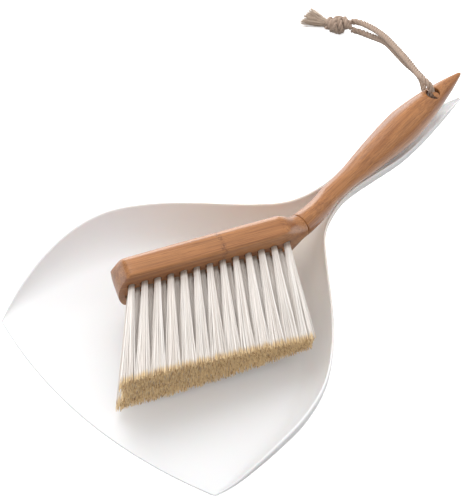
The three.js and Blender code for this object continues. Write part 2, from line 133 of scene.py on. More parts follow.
def soften(values: Array, reach: float) -> Array:
    """Rounds off a finely sampled profile, keeping its two ends where they are.

    Args:
        values: samples along the first axis.
        reach: the width of the rounding, in samples.

    Returns:
        The rounded samples.
    """
    pad = int(KERNEL_REACH * reach)
    first = 2 * values[0] - values[pad:0:-1]
    last = 2 * values[-1] - values[-2 : -pad - 2 : -1]
    long = np.concatenate([first, values, last])
    kernel = np.exp(-0.5 * (np.arange(-pad, pad + 1) / reach) ** 2)
    kernel /= kernel.sum()
    columns = [np.convolve(long[:, k], kernel, mode="same") for k in range(values.shape[1])]
    return np.stack(columns, axis=1)[pad:-pad]


def distances(line: Array) -> Array:
    """Distance along a line at each of its points."""
    return np.concatenate([[0.0], np.cumsum(np.linalg.norm(np.diff(line, axis=0), axis=1))])


def through_points(points: Array, spacing: float) -> Array:
    """A smooth curve through points, sampled at even spacing.

    Args:
        points: the points, one per row.
        spacing: distance between samples.

    Returns:
        The samples, one per row.
    """
    ends = np.vstack([2 * points[0] - points[1], points, 2 * points[-1] - points[-2]])
    fine = []
    for a, b, c, d in zip(ends, ends[1:], ends[2:], ends[3:]):
        gaps = [np.linalg.norm(q - p) ** 0.5 for p, q in ((a, b), (b, c), (c, d))]
        knots = np.cumsum([0.0, *gaps])
        t = np.linspace(knots[1], knots[2], CURVE_STEPS, endpoint=False)[:, None]
        t0, t1, t2, t3 = knots
        ab = (t1 - t) / (t1 - t0) * a + (t - t0) / (t1 - t0) * b
        bc = (t2 - t) / (t2 - t1) * b + (t - t1) / (t2 - t1) * c
        cd = (t3 - t) / (t3 - t2) * c + (t - t2) / (t3 - t2) * d
        abc = (t2 - t) / (t2 - t0) * ab + (t - t0) / (t2 - t0) * bc
        bcd = (t3 - t) / (t3 - t1) * bc + (t - t1) / (t3 - t1) * cd
        fine.append((t2 - t) / (t2 - t1) * abc + (t - t1) / (t2 - t1) * bcd)
    line = np.vstack([*fine, points[-1:]])
    along = distances(line)
    even = np.linspace(0.0, along[-1], max(2, int(round(along[-1] / spacing)) + 1))
    return np.stack([np.interp(even, along, line[:, k]) for k in range(3)], axis=1)


def line_frames(line: Array) -> tuple[Array, Array, Array]:
    """Directions along and across a line, without twist.

    Args:
        line: points of the line, one per row.

    Returns:
        Its tangents and two sets of vectors square to them.
    """
    tangents = unit(np.gradient(line, axis=0))
    start = UP if abs(tangents[0][2]) < STEEP else np.array([1.0, 0.0, 0.0])
    across = [unit(start - tangents[0] * (start @ tangents[0]))]
    for tangent in tangents[1:]:
        across.append(unit(across[-1] - tangent * (across[-1] @ tangent)))
    sides = np.array(across)
    return tangents, sides, np.cross(tangents, sides)


def grid_faces(rows: int, columns: int, wrap: bool, first: int = 0) -> list[Face]:
    """Quads of a grid of points.

    Args:
        rows: number of rows of points.
        columns: points in a row.
        wrap: whether each row closes on itself.
        first: number of the grid's first point.

    Returns:
        The quads as tuples of point numbers.
    """
    faces = []
    for i in range(rows - 1):
        for j in range(columns if wrap else columns - 1):
            k = (j + 1) % columns
            a = first + i * columns
            b = a + columns
            faces.append((a + j, a + k, b + k, b + j))
    return faces


def join_parts(parts: list[tuple[Array, list[Face]]]) -> tuple[Array, list[Face]]:
    """Several meshes as one.

    Args:
        parts: points and faces of each mesh.

    Returns:
        All the points, and the faces renumbered to suit them.
    """
    faces = []
    first = 0
    for some_points, some_faces in parts:
        faces += [tuple(first + k for k in face) for face in some_faces]
        first += len(some_points)
    return np.vstack([points for points, _ in parts]), faces


def hair_mesh(lines: Array, across: Triple, turn: Array, thick: Array) -> tuple[Array, list[Face]]:
    """Three-sided hairs along lines, closed at both ends.

    Args:
        lines: hairs by points by three.
        across: a vector that no hair runs along.
        turn: angles of each hair's three sides.
        thick: radii, in a shape that suits hairs by points by sides by three.

    Returns:
        Points as hairs by points by sides by three, and the faces.
    """
    hairs, rows = lines.shape[:2]
    tangent = unit(np.gradient(lines, axis=1))
    one = unit(np.cross(tangent, across))
    two = np.cross(tangent, one)
    spokes = np.cos(turn)[..., None] * one[:, :, None] + np.sin(turn)[..., None] * two[:, :, None]
    faces = []
    for base in range(0, hairs * rows * HAIR_SIDES, rows * HAIR_SIDES):
        top = base + (rows - 1) * HAIR_SIDES
        faces += grid_faces(rows, HAIR_SIDES, True, first=base)
        faces += [(base + 2, base + 1, base), (top, top + 1, top + 2)]
    return lines[:, :, None] + thick * spokes, faces


def make_piece(name: str, points: Array, faces: list[Face], crease: float = 40.0) -> bpy.types.Object:
    """A mesh object from points in millimetres.

    Args:
        name: the piece's name.
        points: one point per row.
        faces: tuples of point numbers.
        crease: edges that bend more than this many degrees stay sharp.

    Returns:
        The new object.
    """
    mesh = bpy.data.meshes.new(name)
    mesh.from_pydata((np.asarray(points) * MM).tolist(), [], faces)
    mesh.update()
    mesh.shade_smooth()
    mesh.set_sharp_from_angle(angle=np.radians(crease))
    piece = bpy.data.objects.new(name, mesh)
    bpy.context.scene.collection.objects.link(piece)
    return piece


def write_attribute(piece: bpy.types.Object, name: str, values: Array) -> None:
    """Stores one vector per point on a piece's mesh."""
    layer = piece.data.attributes.new(name, "FLOAT_VECTOR", "POINT")
    layer.data.foreach_set("vector", np.asarray(values, np.float32).ravel())


def enlist(
    piece: bpy.types.Object, body: Body, material: bpy.types.Material, nodes: list[str]
) -> None:
    """Dresses a piece and says what it stands for.

    Args:
        Dresses a piece, puts it on its body and hides the model's nodes that it replaces.
        body: the body that it rides on.
        material: its finish.
        nodes: names of the model's nodes that it replaces.
    """
    piece.data.materials.clear()
    piece.data.materials.append(material)
    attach(piece, body.value)
    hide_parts(*nodes)
    LOG.info("%s: %d points, %d faces", piece.name, len(piece.data.vertices), len(piece.data.polygons))


# ---------------------------------------------------------------- finishes


class Recipe:
    """The node tree of one finish, with short calls to add nodes and link them."""

    def __init__(self, name: str) -> None:
        """Starts a material with one Principled shader.

        Args:
            name: the material's name.
        """
        self.material = bpy.data.materials.new(name)
        self.material.use_nodes = True
        self.tree = self.material.node_tree
        self.shader = self.tree.nodes["Principled BSDF"]

    def add(self, kind: str, inputs: dict | None = None, **settings) -> bpy.types.Node:
        """Adds a node.

        Args:
            kind: the node's type, without the leading "ShaderNode".
            inputs: values or sockets for its inputs, by name or number.
            **settings: properties of the node.

        Returns:
            The node.
        """
        node = self.tree.nodes.new("ShaderNode" + kind)
        for key, value in settings.items():
            setattr(node, key, value)
        self.feed(node, inputs or {})
        return node

    def feed(self, node: bpy.types.Node, inputs: dict) -> None:
        """Sets or links a node's inputs.

        Args:
            node: the node.
            inputs: values or sockets, by the input's name or number.
        """
        for key, value in inputs.items():
            if isinstance(value, Socket):
                self.tree.links.new(value, node.inputs[key])
            else:
                node.inputs[key].default_value = value

    def finish(self, inputs: dict) -> None:
        """Sets or links inputs of the shader."""
        self.feed(self.shader, inputs)

    def maths(self, operation: str, *values: Socket | float) -> Socket:
        """Output of a Math node on the given values or sockets."""
        return self.add("Math", dict(enumerate(values)), operation=operation).outputs[0]

    def span(self, value: Socket, source: Span, result: Span) -> Socket:
        """Output of a Map Range node from the source span to the result span, held at both ends."""
        return self.add("MapRange", dict(enumerate((value, *source, *result)))).outputs[0]

    def colours(self, share: Socket, stops: list[tuple[float, Triple]]) -> Socket:
        """A colour ramp.

        Args:
            share: the socket that picks the colour, from 0 to 1.
            stops: position and (red, green, blue) of each colour.

        Returns:
            The colour output.
        """
        node = self.add("ValToRGB", {0: share})
        ramp = node.color_ramp
        while len(ramp.elements) < len(stops):
            ramp.elements.new(1.0)
        for element, (position, colour) in zip(ramp.elements, stops):
            element.position = position
            element.color = (*colour, 1.0)
        return node.outputs["Color"]

    def blend(self, share: Socket, low: Socket | Triple, high: Socket | Triple) -> Socket:
        """A mix of two colours.

        Args:
            share: how much of the second one shows.
            low: the first colour, or a socket that gives it.
            high: the second.

        Returns:
            The colour output.
        """
        full = [(*v, 1.0) if isinstance(v, tuple) else v for v in (low, high)]
        node = self.add("Mix", data_type="RGBA")
        self.feed(node, {0: share, 6: full[0], 7: full[1]})
        return node.outputs[2]

    def stretched(self, vector: Socket, scale: Triple) -> Socket:
        """A vector with its three parts scaled."""
        return self.add("VectorMath", {0: vector, 1: scale}, operation="MULTIPLY").outputs[0]

    def noise(
        self, vector: Socket, scale: float = 1.0, detail: float = 3.0, rough: float = 0.5, warp: float = 0.0
    ) -> Socket:
        """Value output of a noise texture."""
        inputs = {"Vector": vector, "Scale": scale, "Detail": detail, "Roughness": rough, "Distortion": warp}
        return self.add("TexNoise", inputs).outputs[0]

    def bump(self, height: Socket, strength: float, distance: float) -> Socket:
        """Normal output of a Bump node."""
        inputs = {"Height": height, "Strength": strength, "Distance": distance}
        return self.add("Bump", inputs).outputs[0]


@dataclass(frozen=True)
class MouldedPlastic:
    """Off-white satin plastic with a fine moulded grain, and a painted cream tint about the throat that
    stands for warm light bounced off the bamboo.
    """

    colour: Triple = (0.86, 0.86, 0.87)
    shade: Triple = (0.84, 0.835, 0.84)
    # The cream tint and the three numbers after it paint warm bounce light from the bamboo about the throat.
    cream: Triple = (0.90, 0.80, 0.68)
    bounce_middle: float = 0.172
    bounce_reach: float = 0.08
    bounce_weight: float = 0.6
    cloud_scale: float = 14.0
    wear_scale: float = 60.0
    grain_scale: float = 1900.0
    grain_strength: float = 0.12
    grain_depth: float = 0.0001
    roughness: Span = (0.37, 0.50)
    refraction: float = 1.48
    scatter: float = 0.08
    scatter_reach: float = 0.004

    def material(self) -> bpy.types.Material:
        """Makes the material.

        Returns:
            The plastic.
        """
        recipe = Recipe("pan_plastic")
        place = recipe.add("TexCoord").outputs["Object"]
        cloud = recipe.noise(place, self.cloud_scale, detail=2.0)
        colour = recipe.blend(cloud, self.colour, self.shade)
        parts = recipe.add("SeparateXYZ", {0: place})
        # Painted bounce light: cream blended in across the pan at the throat, fading away on either side.
        gap = recipe.maths("ABSOLUTE", recipe.maths("SUBTRACT", parts.outputs[1], self.bounce_middle))
        painted_bounce = recipe.span(gap, (0.0, self.bounce_reach), (self.bounce_weight, 0.0))
        colour = recipe.blend(painted_bounce, colour, self.cream)
        fine = recipe.noise(place, self.grain_scale, detail=2.0)
        wear = recipe.noise(place, self.wear_scale, detail=4.0)
        recipe.finish({
            "Base Color": colour,
            "Roughness": recipe.span(wear, WHOLE, self.roughness),
            "Normal": recipe.bump(fine, self.grain_strength, self.grain_depth),
            "IOR": self.refraction,
            "Subsurface Weight": self.scatter,
            "Subsurface Scale": self.scatter_reach,
        })
        return recipe.material


@dataclass(frozen=True)
class Bamboo:
    """Oiled bamboo: long fibres, faint strips and a knuckle across it."""

    pale: Triple = (0.47, 0.20, 0.066)
    tan: Triple = (0.28, 0.098, 0.027)
    dark: Triple = (0.10, 0.032, 0.01)
    tone_stops: Triple = (0.3, 0.52, 0.72)
    strip_stretch: Triple = (0.006, 0.10, 0.10)
    fibre_stretch: Triple = (0.022, 1.5, 1.5)
    pore_stretch: Triple = (0.10, 3.2, 3.2)
    sway_stretch: Triple = (0.03, 0.16, 0.16)
    pit_stretch: Triple = (0.9, 0.9, 0.9)
    streaks: Span = (0.42, 0.72)
    streak_weight: float = 0.6
    dashes: Span = (0.60, 0.72)
    dash_weight: float = 0.55
    pits: Span = (0.45, 0.62)
    pit_weight: float = 0.75
    knuckle_at: float = 57.0
    knuckle_width: float = 2.2
    knuckle_core: float = 0.35
    knuckle_sway: float = 9.0
    fibre_relief: float = 0.4
    relief_strength: float = 0.25
    relief_depth: float = 0.0003
    roughness: Span = (0.25, 0.44)
    refraction: float = 1.48
    coat: float = 0.12
    coat_roughness: float = 0.2

    def material(self) -> bpy.types.Material:
        """Makes the material. It reads the grain attribute: distance along, then the two ways across.

        Returns:
            The bamboo.
        """
        recipe = Recipe("bamboo")
        grain = recipe.add("Attribute", attribute_name="grain").outputs["Vector"]
        along = recipe.add("SeparateXYZ", {0: grain}).outputs[0]
        strips = recipe.noise(recipe.stretched(grain, self.strip_stretch), detail=2.0, warp=0.4)
        fibres = recipe.noise(recipe.stretched(grain, self.fibre_stretch), detail=4.0, rough=0.65)
        pores = recipe.noise(recipe.stretched(grain, self.pore_stretch), detail=2.0, rough=0.6)
        tone = recipe.colours(strips, list(zip(self.tone_stops, (self.tan, self.pale, self.tan))))
        tone = recipe.blend(recipe.span(fibres, self.streaks, (0.0, self.streak_weight)), tone, self.dark)
        tone = recipe.blend(recipe.span(pores, self.dashes, (0.0, self.dash_weight)), tone, self.dark)
        knuckle = self.knuckle(recipe, grain, along)
        relief = recipe.maths("SUBTRACT", recipe.maths("MULTIPLY", fibres, self.fibre_relief), knuckle)
        recipe.finish({
            "Base Color": recipe.blend(knuckle, tone, self.dark),
            "Roughness": recipe.span(fibres, WHOLE, self.roughness),
            "Normal": recipe.bump(relief, self.relief_strength, self.relief_depth),
            "Coat Weight": self.coat,
            "Coat Roughness": self.coat_roughness,
            "IOR": self.refraction,
        })
        return recipe.material

    def knuckle(self, recipe: Recipe, grain: Socket, along: Socket) -> Socket:
        """The wavy, pitted line of a bamboo node.

        Args:
            recipe: the material being made.
            grain: place in the piece, stretched along its fibres.
            along: distance along the piece.

        Returns:
            1 on the line and 0 away from it.
        """
        sway = recipe.noise(recipe.stretched(grain, self.sway_stretch), detail=2.0)
        shift = recipe.maths("MULTIPLY", recipe.maths("SUBTRACT", sway, 0.5), self.knuckle_sway)
        shifted = recipe.maths("ADD", along, shift)
        gap = recipe.maths("ABSOLUTE", recipe.maths("SUBTRACT", shifted, self.knuckle_at))
        line = recipe.span(gap, (self.knuckle_core * self.knuckle_width, self.knuckle_width), (1.0, 0.0))
        pits = recipe.noise(recipe.stretched(grain, self.pit_stretch), detail=3.0, rough=0.7)
        return recipe.maths("MULTIPLY", line, recipe.span(pits, self.pits, (0.0, self.pit_weight)))


@dataclass(frozen=True)
class RawWood:
    """Pale unfinished wood, for the hidden dowel."""

    colour: Triple = (0.66, 0.47, 0.28)
    shade: float = 0.7
    fibre_stretch: Triple = (900.0, 60.0, 900.0)
    roughness: float = 0.7
    relief_strength: float = 0.3
    relief_depth: float = 0.0002

    def material(self) -> bpy.types.Material:
        """Makes the material.

        Returns:
            The bare wood.
        """
        recipe = Recipe("dowel_wood")
        place = recipe.add("TexCoord").outputs["Object"]
        fibres = recipe.noise(recipe.stretched(place, self.fibre_stretch))
        recipe.finish({
            "Base Color": recipe.blend(fibres, self.colour, tuple(self.shade * c for c in self.colour)),
            "Roughness": self.roughness,
            "Normal": recipe.bump(fibres, self.relief_strength, self.relief_depth),
        })
        return recipe.material


@dataclass(frozen=True)
class Bristle:
    """White hair that is darker grey-brown at its root and tan where its tip is flagged."""

    white: Triple = (0.94, 0.915, 0.885)
    cream: Triple = (0.88, 0.82, 0.77)
    root: Triple = (0.42, 0.34, 0.28)
    tip: Triple = (0.82, 0.64, 0.38)
    tip_dark: Triple = (0.46, 0.29, 0.14)
    tip_stops: Triple = (0.0, 0.62, 0.9)
    root_end: Span = (0.035, 0.075)
    flag: Span = (0.925, 0.97)
    flag_scatter: float = 0.02
    roughness: float = 0.46
    refraction: float = 1.5
    # Painted light: the hairs glow faintly in their own colour, lifting the shade between them.
    glow: float = 0.03

    def material(self) -> bpy.types.Material:
        """Makes the material. It reads the strand attribute: share of the length, then two chances.

        Returns:
            The hair.
        """
        recipe = Recipe("bristle")
        strand = recipe.add("Attribute", attribute_name="strand").outputs["Vector"]
        along, chance, tint = recipe.add("SeparateXYZ", {0: strand}).outputs
        hair = recipe.blend(chance, self.white, self.cream)
        # Darker grey-brown at the root end of each hair.
        hair = recipe.blend(recipe.span(along, self.root_end, (1.0, 0.0)), hair, self.root)
        start = recipe.maths("SUBTRACT", along, recipe.maths("MULTIPLY", tint, self.flag_scatter))
        ends = recipe.colours(tint, list(zip(self.tip_stops, (self.tip, self.tip, self.tip_dark))))
        hair = recipe.blend(recipe.span(start, self.flag, WHOLE), hair, ends)
        recipe.finish({
            "Base Color": hair,
            "Roughness": self.roughness,
            "IOR": self.refraction,
            # Painted light: a faint glow in the hair's own colour.
            "Emission Color": hair,
            "Emission Strength": self.glow,
        })
        return recipe.material


@dataclass(frozen=True)
class Jute:
    """Twisted jute: dry fibres with a fine mottle of dark and pale."""

    pale: Triple = (0.50, 0.36, 0.275)
    dark: Triple = (0.19, 0.115, 0.08)
    straw: Triple = (0.70, 0.58, 0.45)
    fine_scale: float = 1500.0
    coarse_scale: float = 220.0
    coarse_weight: float = 0.5
    roughness: float = 0.85
    relief_strength: float = 0.7
    relief_depth: float = 0.0004
    sheen: float = 0.25
    sheen_roughness: float = 0.5

    def material(self) -> bpy.types.Material:
        """Makes the material. It reads the strand attribute: share around a ply, then a chance.

        Returns:
            The jute.
        """
        recipe = Recipe("jute")
        place = recipe.add("TexCoord").outputs["Object"]
        strand = recipe.add("Attribute", attribute_name="strand").outputs["Vector"]
        chance = recipe.add("SeparateXYZ", {0: strand}).outputs[1]
        fine = recipe.noise(place, self.fine_scale, rough=0.7)
        coarse = recipe.noise(place, self.coarse_scale, detail=2.0)
        tone = recipe.blend(fine, self.dark, self.pale)
        tone = recipe.blend(recipe.maths("MULTIPLY", coarse, self.coarse_weight), tone, self.pale)
        recipe.finish({
            "Base Color": recipe.blend(chance, tone, self.straw),
            "Roughness": self.roughness,
            "Normal": recipe.bump(fine, self.relief_strength, self.relief_depth),
            "Sheen Weight": self.sheen,
            "Sheen Roughness": self.sheen_roughness,
        })
        return recipe.material


# ---------------------------------------------------------------- dust pan


@dataclass
class DustPan:
    """The pan: one moulding whose tray narrows into a channel-shaped handle."""

    finish: MouldedPlastic = field(default_factory=MouldedPlastic)
    tray_rows: Rows = field(default_factory=lambda: [
        (0, 0.91, 0.05), (0.053, 0.946, 0.16), (0.116, 0.974, 0.345), (0.237, 1, 0.62),
        (0.368, 0.995, 0.81), (0.5, 0.924, 0.94), (0.632, 0.754, 1), (0.737, 0.562, 1.02),
        (0.842, 0.342, 1.06), (0.926, 0.18, 1.16)])
    grip_rows: Rows = field(default_factory=lambda: [
        (0.015, 0.9, 0.924), (0.149, 0.695, 0.98), (0.313, 0.85, 1), (0.47, 1, 0.997),
        (0.612, 0.885, 0.98), (0.761, 0.625, 0.94), (0.896, 0.33, 0.89), (1, 0.07, 0.857)])
    tray_width: float = 213.0
    tray_height: float = 31.0
    grip_width: float = 26.0
    grip_height: float = 41.2
    grip_underside: float = 28.5
    tip_underside: float = 33.2
    flat_length: float = 135.0
    lip_thickness: float = 1.3
    lip_taper: float = 24.0
    shell: float = 2.2
    flat_share: float = 0.5
    columns: int = 120
    edge_steps: int = 4
    corner_share: float = 0.85
    corner_extra: float = 2.0
    corner_limit: float = 0.8
    wall_limit: float = 0.45
    rise_beyond: float = 0.1
    tip_rise_from: float = 0.6
    bulge_fade: float = 0.35
    sample_step: float = 0.5
    rounding: float = 6.0
    front_rows: int = 40
    front_crowding: float = 1.4
    front_length: float = 36.0
    row_step: float = 2.0
    tail_gap: float = 3.0
    tip_rows: tuple[float, ...] = (2.0, 1.0, 0.4, 0.0)
    crease: float = 60.0

    def __post_init__(self) -> None:
        """Takes the lengths from the frame and samples the profile."""
        tray_low, tray_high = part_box("dustpan_tray")
        grip_low, grip_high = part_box("dustpan_grip")
        self.lip_bulge = -tray_low.y / MM
        self.tray_length = (tray_high.y + grip_low.y) / 2 / MM
        self.length = grip_high.y / MM
        self.grip_length = self.length - self.tray_length
        tray = [
            (a * self.tray_length, w * self.tray_width / 2, h * self.tray_height)
            for a, w, h in self.tray_rows
        ]
        grip = [
            (self.tray_length + a * self.grip_length, w * self.grip_width / 2, h * self.grip_height)
            for a, w, h in self.grip_rows
        ]
        self.samples = np.arange(0.0, self.length + self.sample_step / 2, self.sample_step)
        self.profile = soften(read_rows(tray + grip, self.samples), self.rounding)

    def section(self, y: Array) -> tuple[Array, Array, Array, Array, Array]:
        """The pan's section at distances along it.

        Args:
            y: the distances.

        Returns:
            Half width, rim height, underside height, corner radius and wall thickness.
        """
        half = np.interp(y, self.samples, self.profile[:, 0])
        rim = np.interp(y, self.samples, self.profile[:, 1])
        rise_end = self.tray_length + self.rise_beyond * self.grip_length
        rise = ease((y - self.flat_length) / (rise_end - self.flat_length))
        along_grip = (y - self.tray_length) / self.grip_length
        tip_rise = ease((along_grip - self.tip_rise_from) / (1.0 - self.tip_rise_from))
        floor = self.grip_underside * rise + (self.tip_underside - self.grip_underside) * tip_rise
        radius = np.minimum(self.corner_share * (rim - floor) + self.corner_extra, self.corner_limit * half)
        full = mix(self.lip_thickness, self.shell, ease(y / self.lip_taper))
        return half, rim, floor, radius, np.minimum(full, self.wall_limit * half)

    def skin(self, y: Array, across: Array, inside: bool) -> Array:
        """Points of the outer or inner skin.

        Args:
            y: distances along the pan, one per row of the grid.
            across: from -1 at one rim to 1 at the other, one per column.
            inside: the inner skin rather than the outer one.

        Returns:
            Points, as rows by columns by three.
        """
        half, rim, floor, radius, wall = (v[:, None] for v in self.section(y))
        rim = rim - 0.5 * wall
        side = np.abs(across)[None, :]
        angle = np.maximum((side - self.flat_share) / (1.0 - self.flat_share), 0.0) * np.pi / 2
        offset = wall if inside else 0.0
        flat = np.minimum(side / self.flat_share, 1.0) * (half - radius)
        x = np.sign(across)[None, :] * (flat + (radius - offset) * np.sin(angle))
        z = floor + (rim - floor) * (1.0 - np.cos(angle)) + offset * np.cos(angle)
        fade = 1.0 - ease(y[:, None] / (self.bulge_fade * self.tray_length))
        bulge = self.lip_bulge * (1.0 - (x / half) ** 2) * fade
        return np.stack([x, y[:, None] - bulge, z], axis=2)

    def top(self, x: Array, y: Array) -> Array:
        """Height of the inner skin over points of the plan.

        Args:
            x: distances from the pan's middle line.
            y: distances along the pan.

        Returns:
            The heights, 0 outside the pan.
        """
        half, rim, floor, radius, wall = self.section(np.clip(y, 0.0, self.length))
        beyond = np.clip((np.abs(x) - (half - radius)) / (radius - wall), 0.0, 1.0)
        cosine = np.sqrt(1.0 - beyond**2)
        height = floor + (rim - floor) * (1.0 - cosine) + wall * cosine
        return np.where((np.abs(x) > half) | (y < -self.lip_bulge), 0.0, height)

    def edge(self, a: Array, b: Array, push: Array) -> Array:
        """Points of a rounded edge between two skins.

        Args:
            a: points on the outer skin, one per row.
            b: points on the inner skin.
            push: how far and which way the edge stands out.

        Returns:
            Points, as rows by steps by three.
        """
        turn = np.pi * np.arange(1, self.edge_steps) / self.edge_steps
        middle = ((a + b) / 2)[:, None, :]
        reach = ((a - b) / 2)[:, None, :]
        return middle + reach * np.cos(turn)[None, :, None] + push[:, None, :] * np.sin(turn)[None, :, None]

    @staticmethod
    def border(rows: int, columns: int) -> tuple[Array, Array]:
        """The rim of a grid of points: along the lip, up one side, across the point and back.

        Args:
            rows: number of rows of points.
            columns: points in a row.

        Returns:
            The numbers of the rim's points, and the way that the edge at each one stands out.
        """
        number = np.arange(rows * columns).reshape(rows, columns)
        runs = [
            (number[0], -AHEAD),
            (number[1:-1, -1], UP),
            (number[-1, ::-1], AHEAD),
            (number[-2:0:-1, 0], UP),
        ]
        ways = [np.tile(way, (len(run), 1)) for run, way in runs]
        return np.concatenate([run for run, _ in runs]), np.vstack(ways)

    def build(self) -> bpy.types.Object:
        """Builds the moulding as one closed shell with rounded edges.

        Returns:
            The piece.
        """
        front = np.linspace(0.0, 1.0, self.front_rows) ** self.front_crowding * self.front_length
        middle = np.arange(self.front_length + self.row_step, self.length - self.tail_gap, self.row_step)
        y = np.concatenate([front, middle, self.length - np.array(self.tip_rows)])
        across = np.linspace(-1.0, 1.0, self.columns + 1)
        outer = self.skin(y, across, False)
        inner = self.skin(y, across, True)
        rows, columns = outer.shape[:2]
        size = rows * columns
        place, ways = self.border(rows, columns)
        outer = outer.reshape(-1, 3)
        inner = inner.reshape(-1, 3)
        wall = np.linalg.norm(outer[place] - inner[place], axis=1)[:, None]
        edge = self.edge(outer[place], inner[place], wall * ways / 2)
        steps = self.edge_steps - 1
        numbers = 2 * size + np.arange(len(place) * steps).reshape(-1, steps)
        strips = np.column_stack([place, numbers, size + place])
        faces = [tuple(reversed(face)) for face in grid_faces(rows, columns, False)]
        faces += grid_faces(rows, columns, False, first=size)
        for one, two in zip(strips.tolist(), np.roll(strips, -1, axis=0).tolist()):
            faces += [(one[k], two[k], two[k + 1], one[k + 1]) for k in range(self.edge_steps)]
        points = np.vstack([outer, inner, edge.reshape(-1, 3)])
        piece = make_piece("dust_pan", points, faces, crease=self.crease)
        enlist(piece, Body.PAN, self.finish.material(), ["dustpan_tray", "dustpan_grip"])
        return piece


# ---------------------------------------------------------------- hand brush


@dataclass
class BrushLayout:
    """Lengths that the brush's pieces share, and where it lies.

    Its own frame has X from the joint to the head's free end, Y towards the bristle tips and Z across
    the head.
    """

    turn: float = -114.66
    tip_up: float = -1.39
    roll: float = -13.86
    head_centre: float = 6.8
    head_face: float = 8.95
    handle_length: float = 157.7
    handle_angle: float = 28.0
    joint_width: float = 21.0
    joint_thickness: float = 15.4
    bend_length: float = 25.0
    bend_end: float = 27.5
    bend_pull: tuple[float, float] = (2.0, 7.2)
    joint_share: float = 0.48
    joint_lean: float = 8.0
    hole_from_tip: float = 28.7
    hole_roll: float = 7.0
    hole_diameter: float = 9.0
    seam_gap: float = 0.3
    seam_share: float = 0.011
    lean_reach: float = 0.5

    def __post_init__(self) -> None:
        """Works out the brush's axes and puts its joint at the hidden dowel's middle."""
        roll, tip, turn = np.radians((self.roll, self.tip_up, self.turn))
        c, s = np.cos, np.sin
        about_x = np.array([[1, 0, 0], [0, c(roll), -s(roll)], [0, s(roll), c(roll)]])
        about_y = np.array([[c(tip), 0, s(tip)], [0, 1, 0], [-s(tip), 0, c(tip)]])
        about_z = np.array([[c(turn), -s(turn), 0], [s(turn), c(turn), 0], [0, 0, 1]])
        self.axes = about_z @ about_y @ about_x
        angle = np.radians(self.handle_angle)
        self.handle_axis = np.array([-np.cos(angle), -np.sin(angle), 0.0])
        start = np.array([self.bend_length, self.head_centre, 0.0])
        self.bend = (start, np.array([*self.bend_pull, 0.0]), self.handle_axis * self.bend_end)
        self.joint = self.bend_point(self.joint_share)
        lean = np.radians(self.joint_lean)
        one, two = self.bend_tangent(self.joint_share)[:2]
        self.joint_axis = np.array([one * c(lean) - two * s(lean), one * s(lean) + two * c(lean), 0.0])
        low, high = (np.array(corner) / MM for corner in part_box("handle_dowel"))
        self.origin = (low + high) / 2 - self.axes @ self.joint
        self.hole = self.handle_axis * (self.handle_length - self.hole_from_tip)
        self.hole_side = np.array([-self.handle_axis[1], self.handle_axis[0], 0.0])
        swing = np.radians(self.hole_roll)
        self.hole_axis = c(swing) * UP + s(swing) * self.hole_side

    def bend_point(self, t: float) -> Array:
        """A point of the curve that joins the head's line to the handle's."""
        a, b, c = self.bend
        return (1 - t) ** 2 * a + 2 * t * (1 - t) * b + t**2 * c

    def bend_tangent(self, t: float) -> Array:
        """The direction of that curve."""
        a, b, c = self.bend
        return unit((1 - t) * (b - a) + t * (c - b))

    def direction(self, t: float) -> Array:
        """The direction that the wood's rings are square to: the curve's, leant over beside the joint."""
        near = 1.0 - ease(abs(t - self.joint_share) / (self.lean_reach * self.joint_share))
        return unit(mix(self.bend_tangent(t), self.joint_axis, near))

    def place(self, points: Array) -> Array:
        """Points of the brush's own frame in the row frame."""
        return points @ self.axes.T + self.origin

    def local(self, points: Array) -> Array:
        """Points of the row frame in the brush's own frame."""
        return (points - self.origin) @ self.axes


def brush_ring(
    centre: Array, along: Array, across: float, depths: Span, powers: Span, sides: int = 128
) -> Array:
    """A closed ring about a centre, flat-sided where its power is low and round where it is 1.

    Args:
        centre: the ring's centre.
        along: direction that the ring is square to.
        across: half width along Z.
        depths: half depths of the back and of the tuft face.
        powers: how round the back and the tuft face are.
        sides: points in the ring.

    Returns:
        The ring's points.
    """
    side = np.array([-along[1], along[0], 0.0])
    side *= np.sign(side[1]) / np.linalg.norm(side)
    angle = -FULL_TURN * (np.arange(sides) + 0.5) / sides
    sine, cosine = np.sin(angle), np.cos(angle)
    front = sine > 0
    power = np.where(front, powers[1], powers[0])
    deep = np.sign(sine) * np.abs(sine) ** power * np.where(front, depths[1], depths[0])
    wide = np.sign(cosine) * np.abs(cosine) ** power * across
    return centre + deep[:, None] * side + wide[:, None] * UP


def loft(rings: list[Array]) -> tuple[Array, list[Face]]:
    """Joins rings into one closed skin, with a point in the middle of each end.

    Args:
        rings: rings with the same number of points.

    Returns:
        The points and the faces.
    """
    count = len(rings[0])
    points = np.vstack([*rings, rings[0].mean(axis=0)[None], rings[-1].mean(axis=0)[None]])
    faces = grid_faces(len(rings), count, True)
    first = len(rings) * count
    end = first - count
    for j in range(count):
        k = (j + 1) % count
        faces += [(first, k, j), (first + 1, end + j, end + k)]
    return points, faces


def carve(piece: bpy.types.Object, cutter: bpy.types.Object, crease: float) -> None:
    """Cuts one piece with another, which is used up.

    Args:
        piece: the piece to cut.
        cutter: what is taken away.
        crease: edges that bend more than this many degrees stay sharp.
    """
    cut = piece.modifiers.new("cut", "BOOLEAN")
    cut.operation = "DIFFERENCE"
    cut.solver = "MANIFOLD"
    cut.object = cutter
    depsgraph = bpy.context.evaluated_depsgraph_get()
    mesh = bpy.data.meshes.new_from_object(piece.evaluated_get(depsgraph))
    piece.modifiers.clear()
    piece.data = mesh
    bpy.data.objects.remove(cutter)
    mesh.shade_smooth()
    mesh.set_sharp_from_angle(angle=np.radians(crease))


def mesh_points(piece: bpy.types.Object) -> Array:
    """Reads a piece's points.

    Args:
        piece: the piece.

    Returns:
        Its points in millimetres, one per row.
    """
    flat = np.zeros(len(piece.data.vertices) * 3, np.float32)
    piece.data.vertices.foreach_get("co", flat)
    return flat.reshape(-1, 3).astype(float) / MM


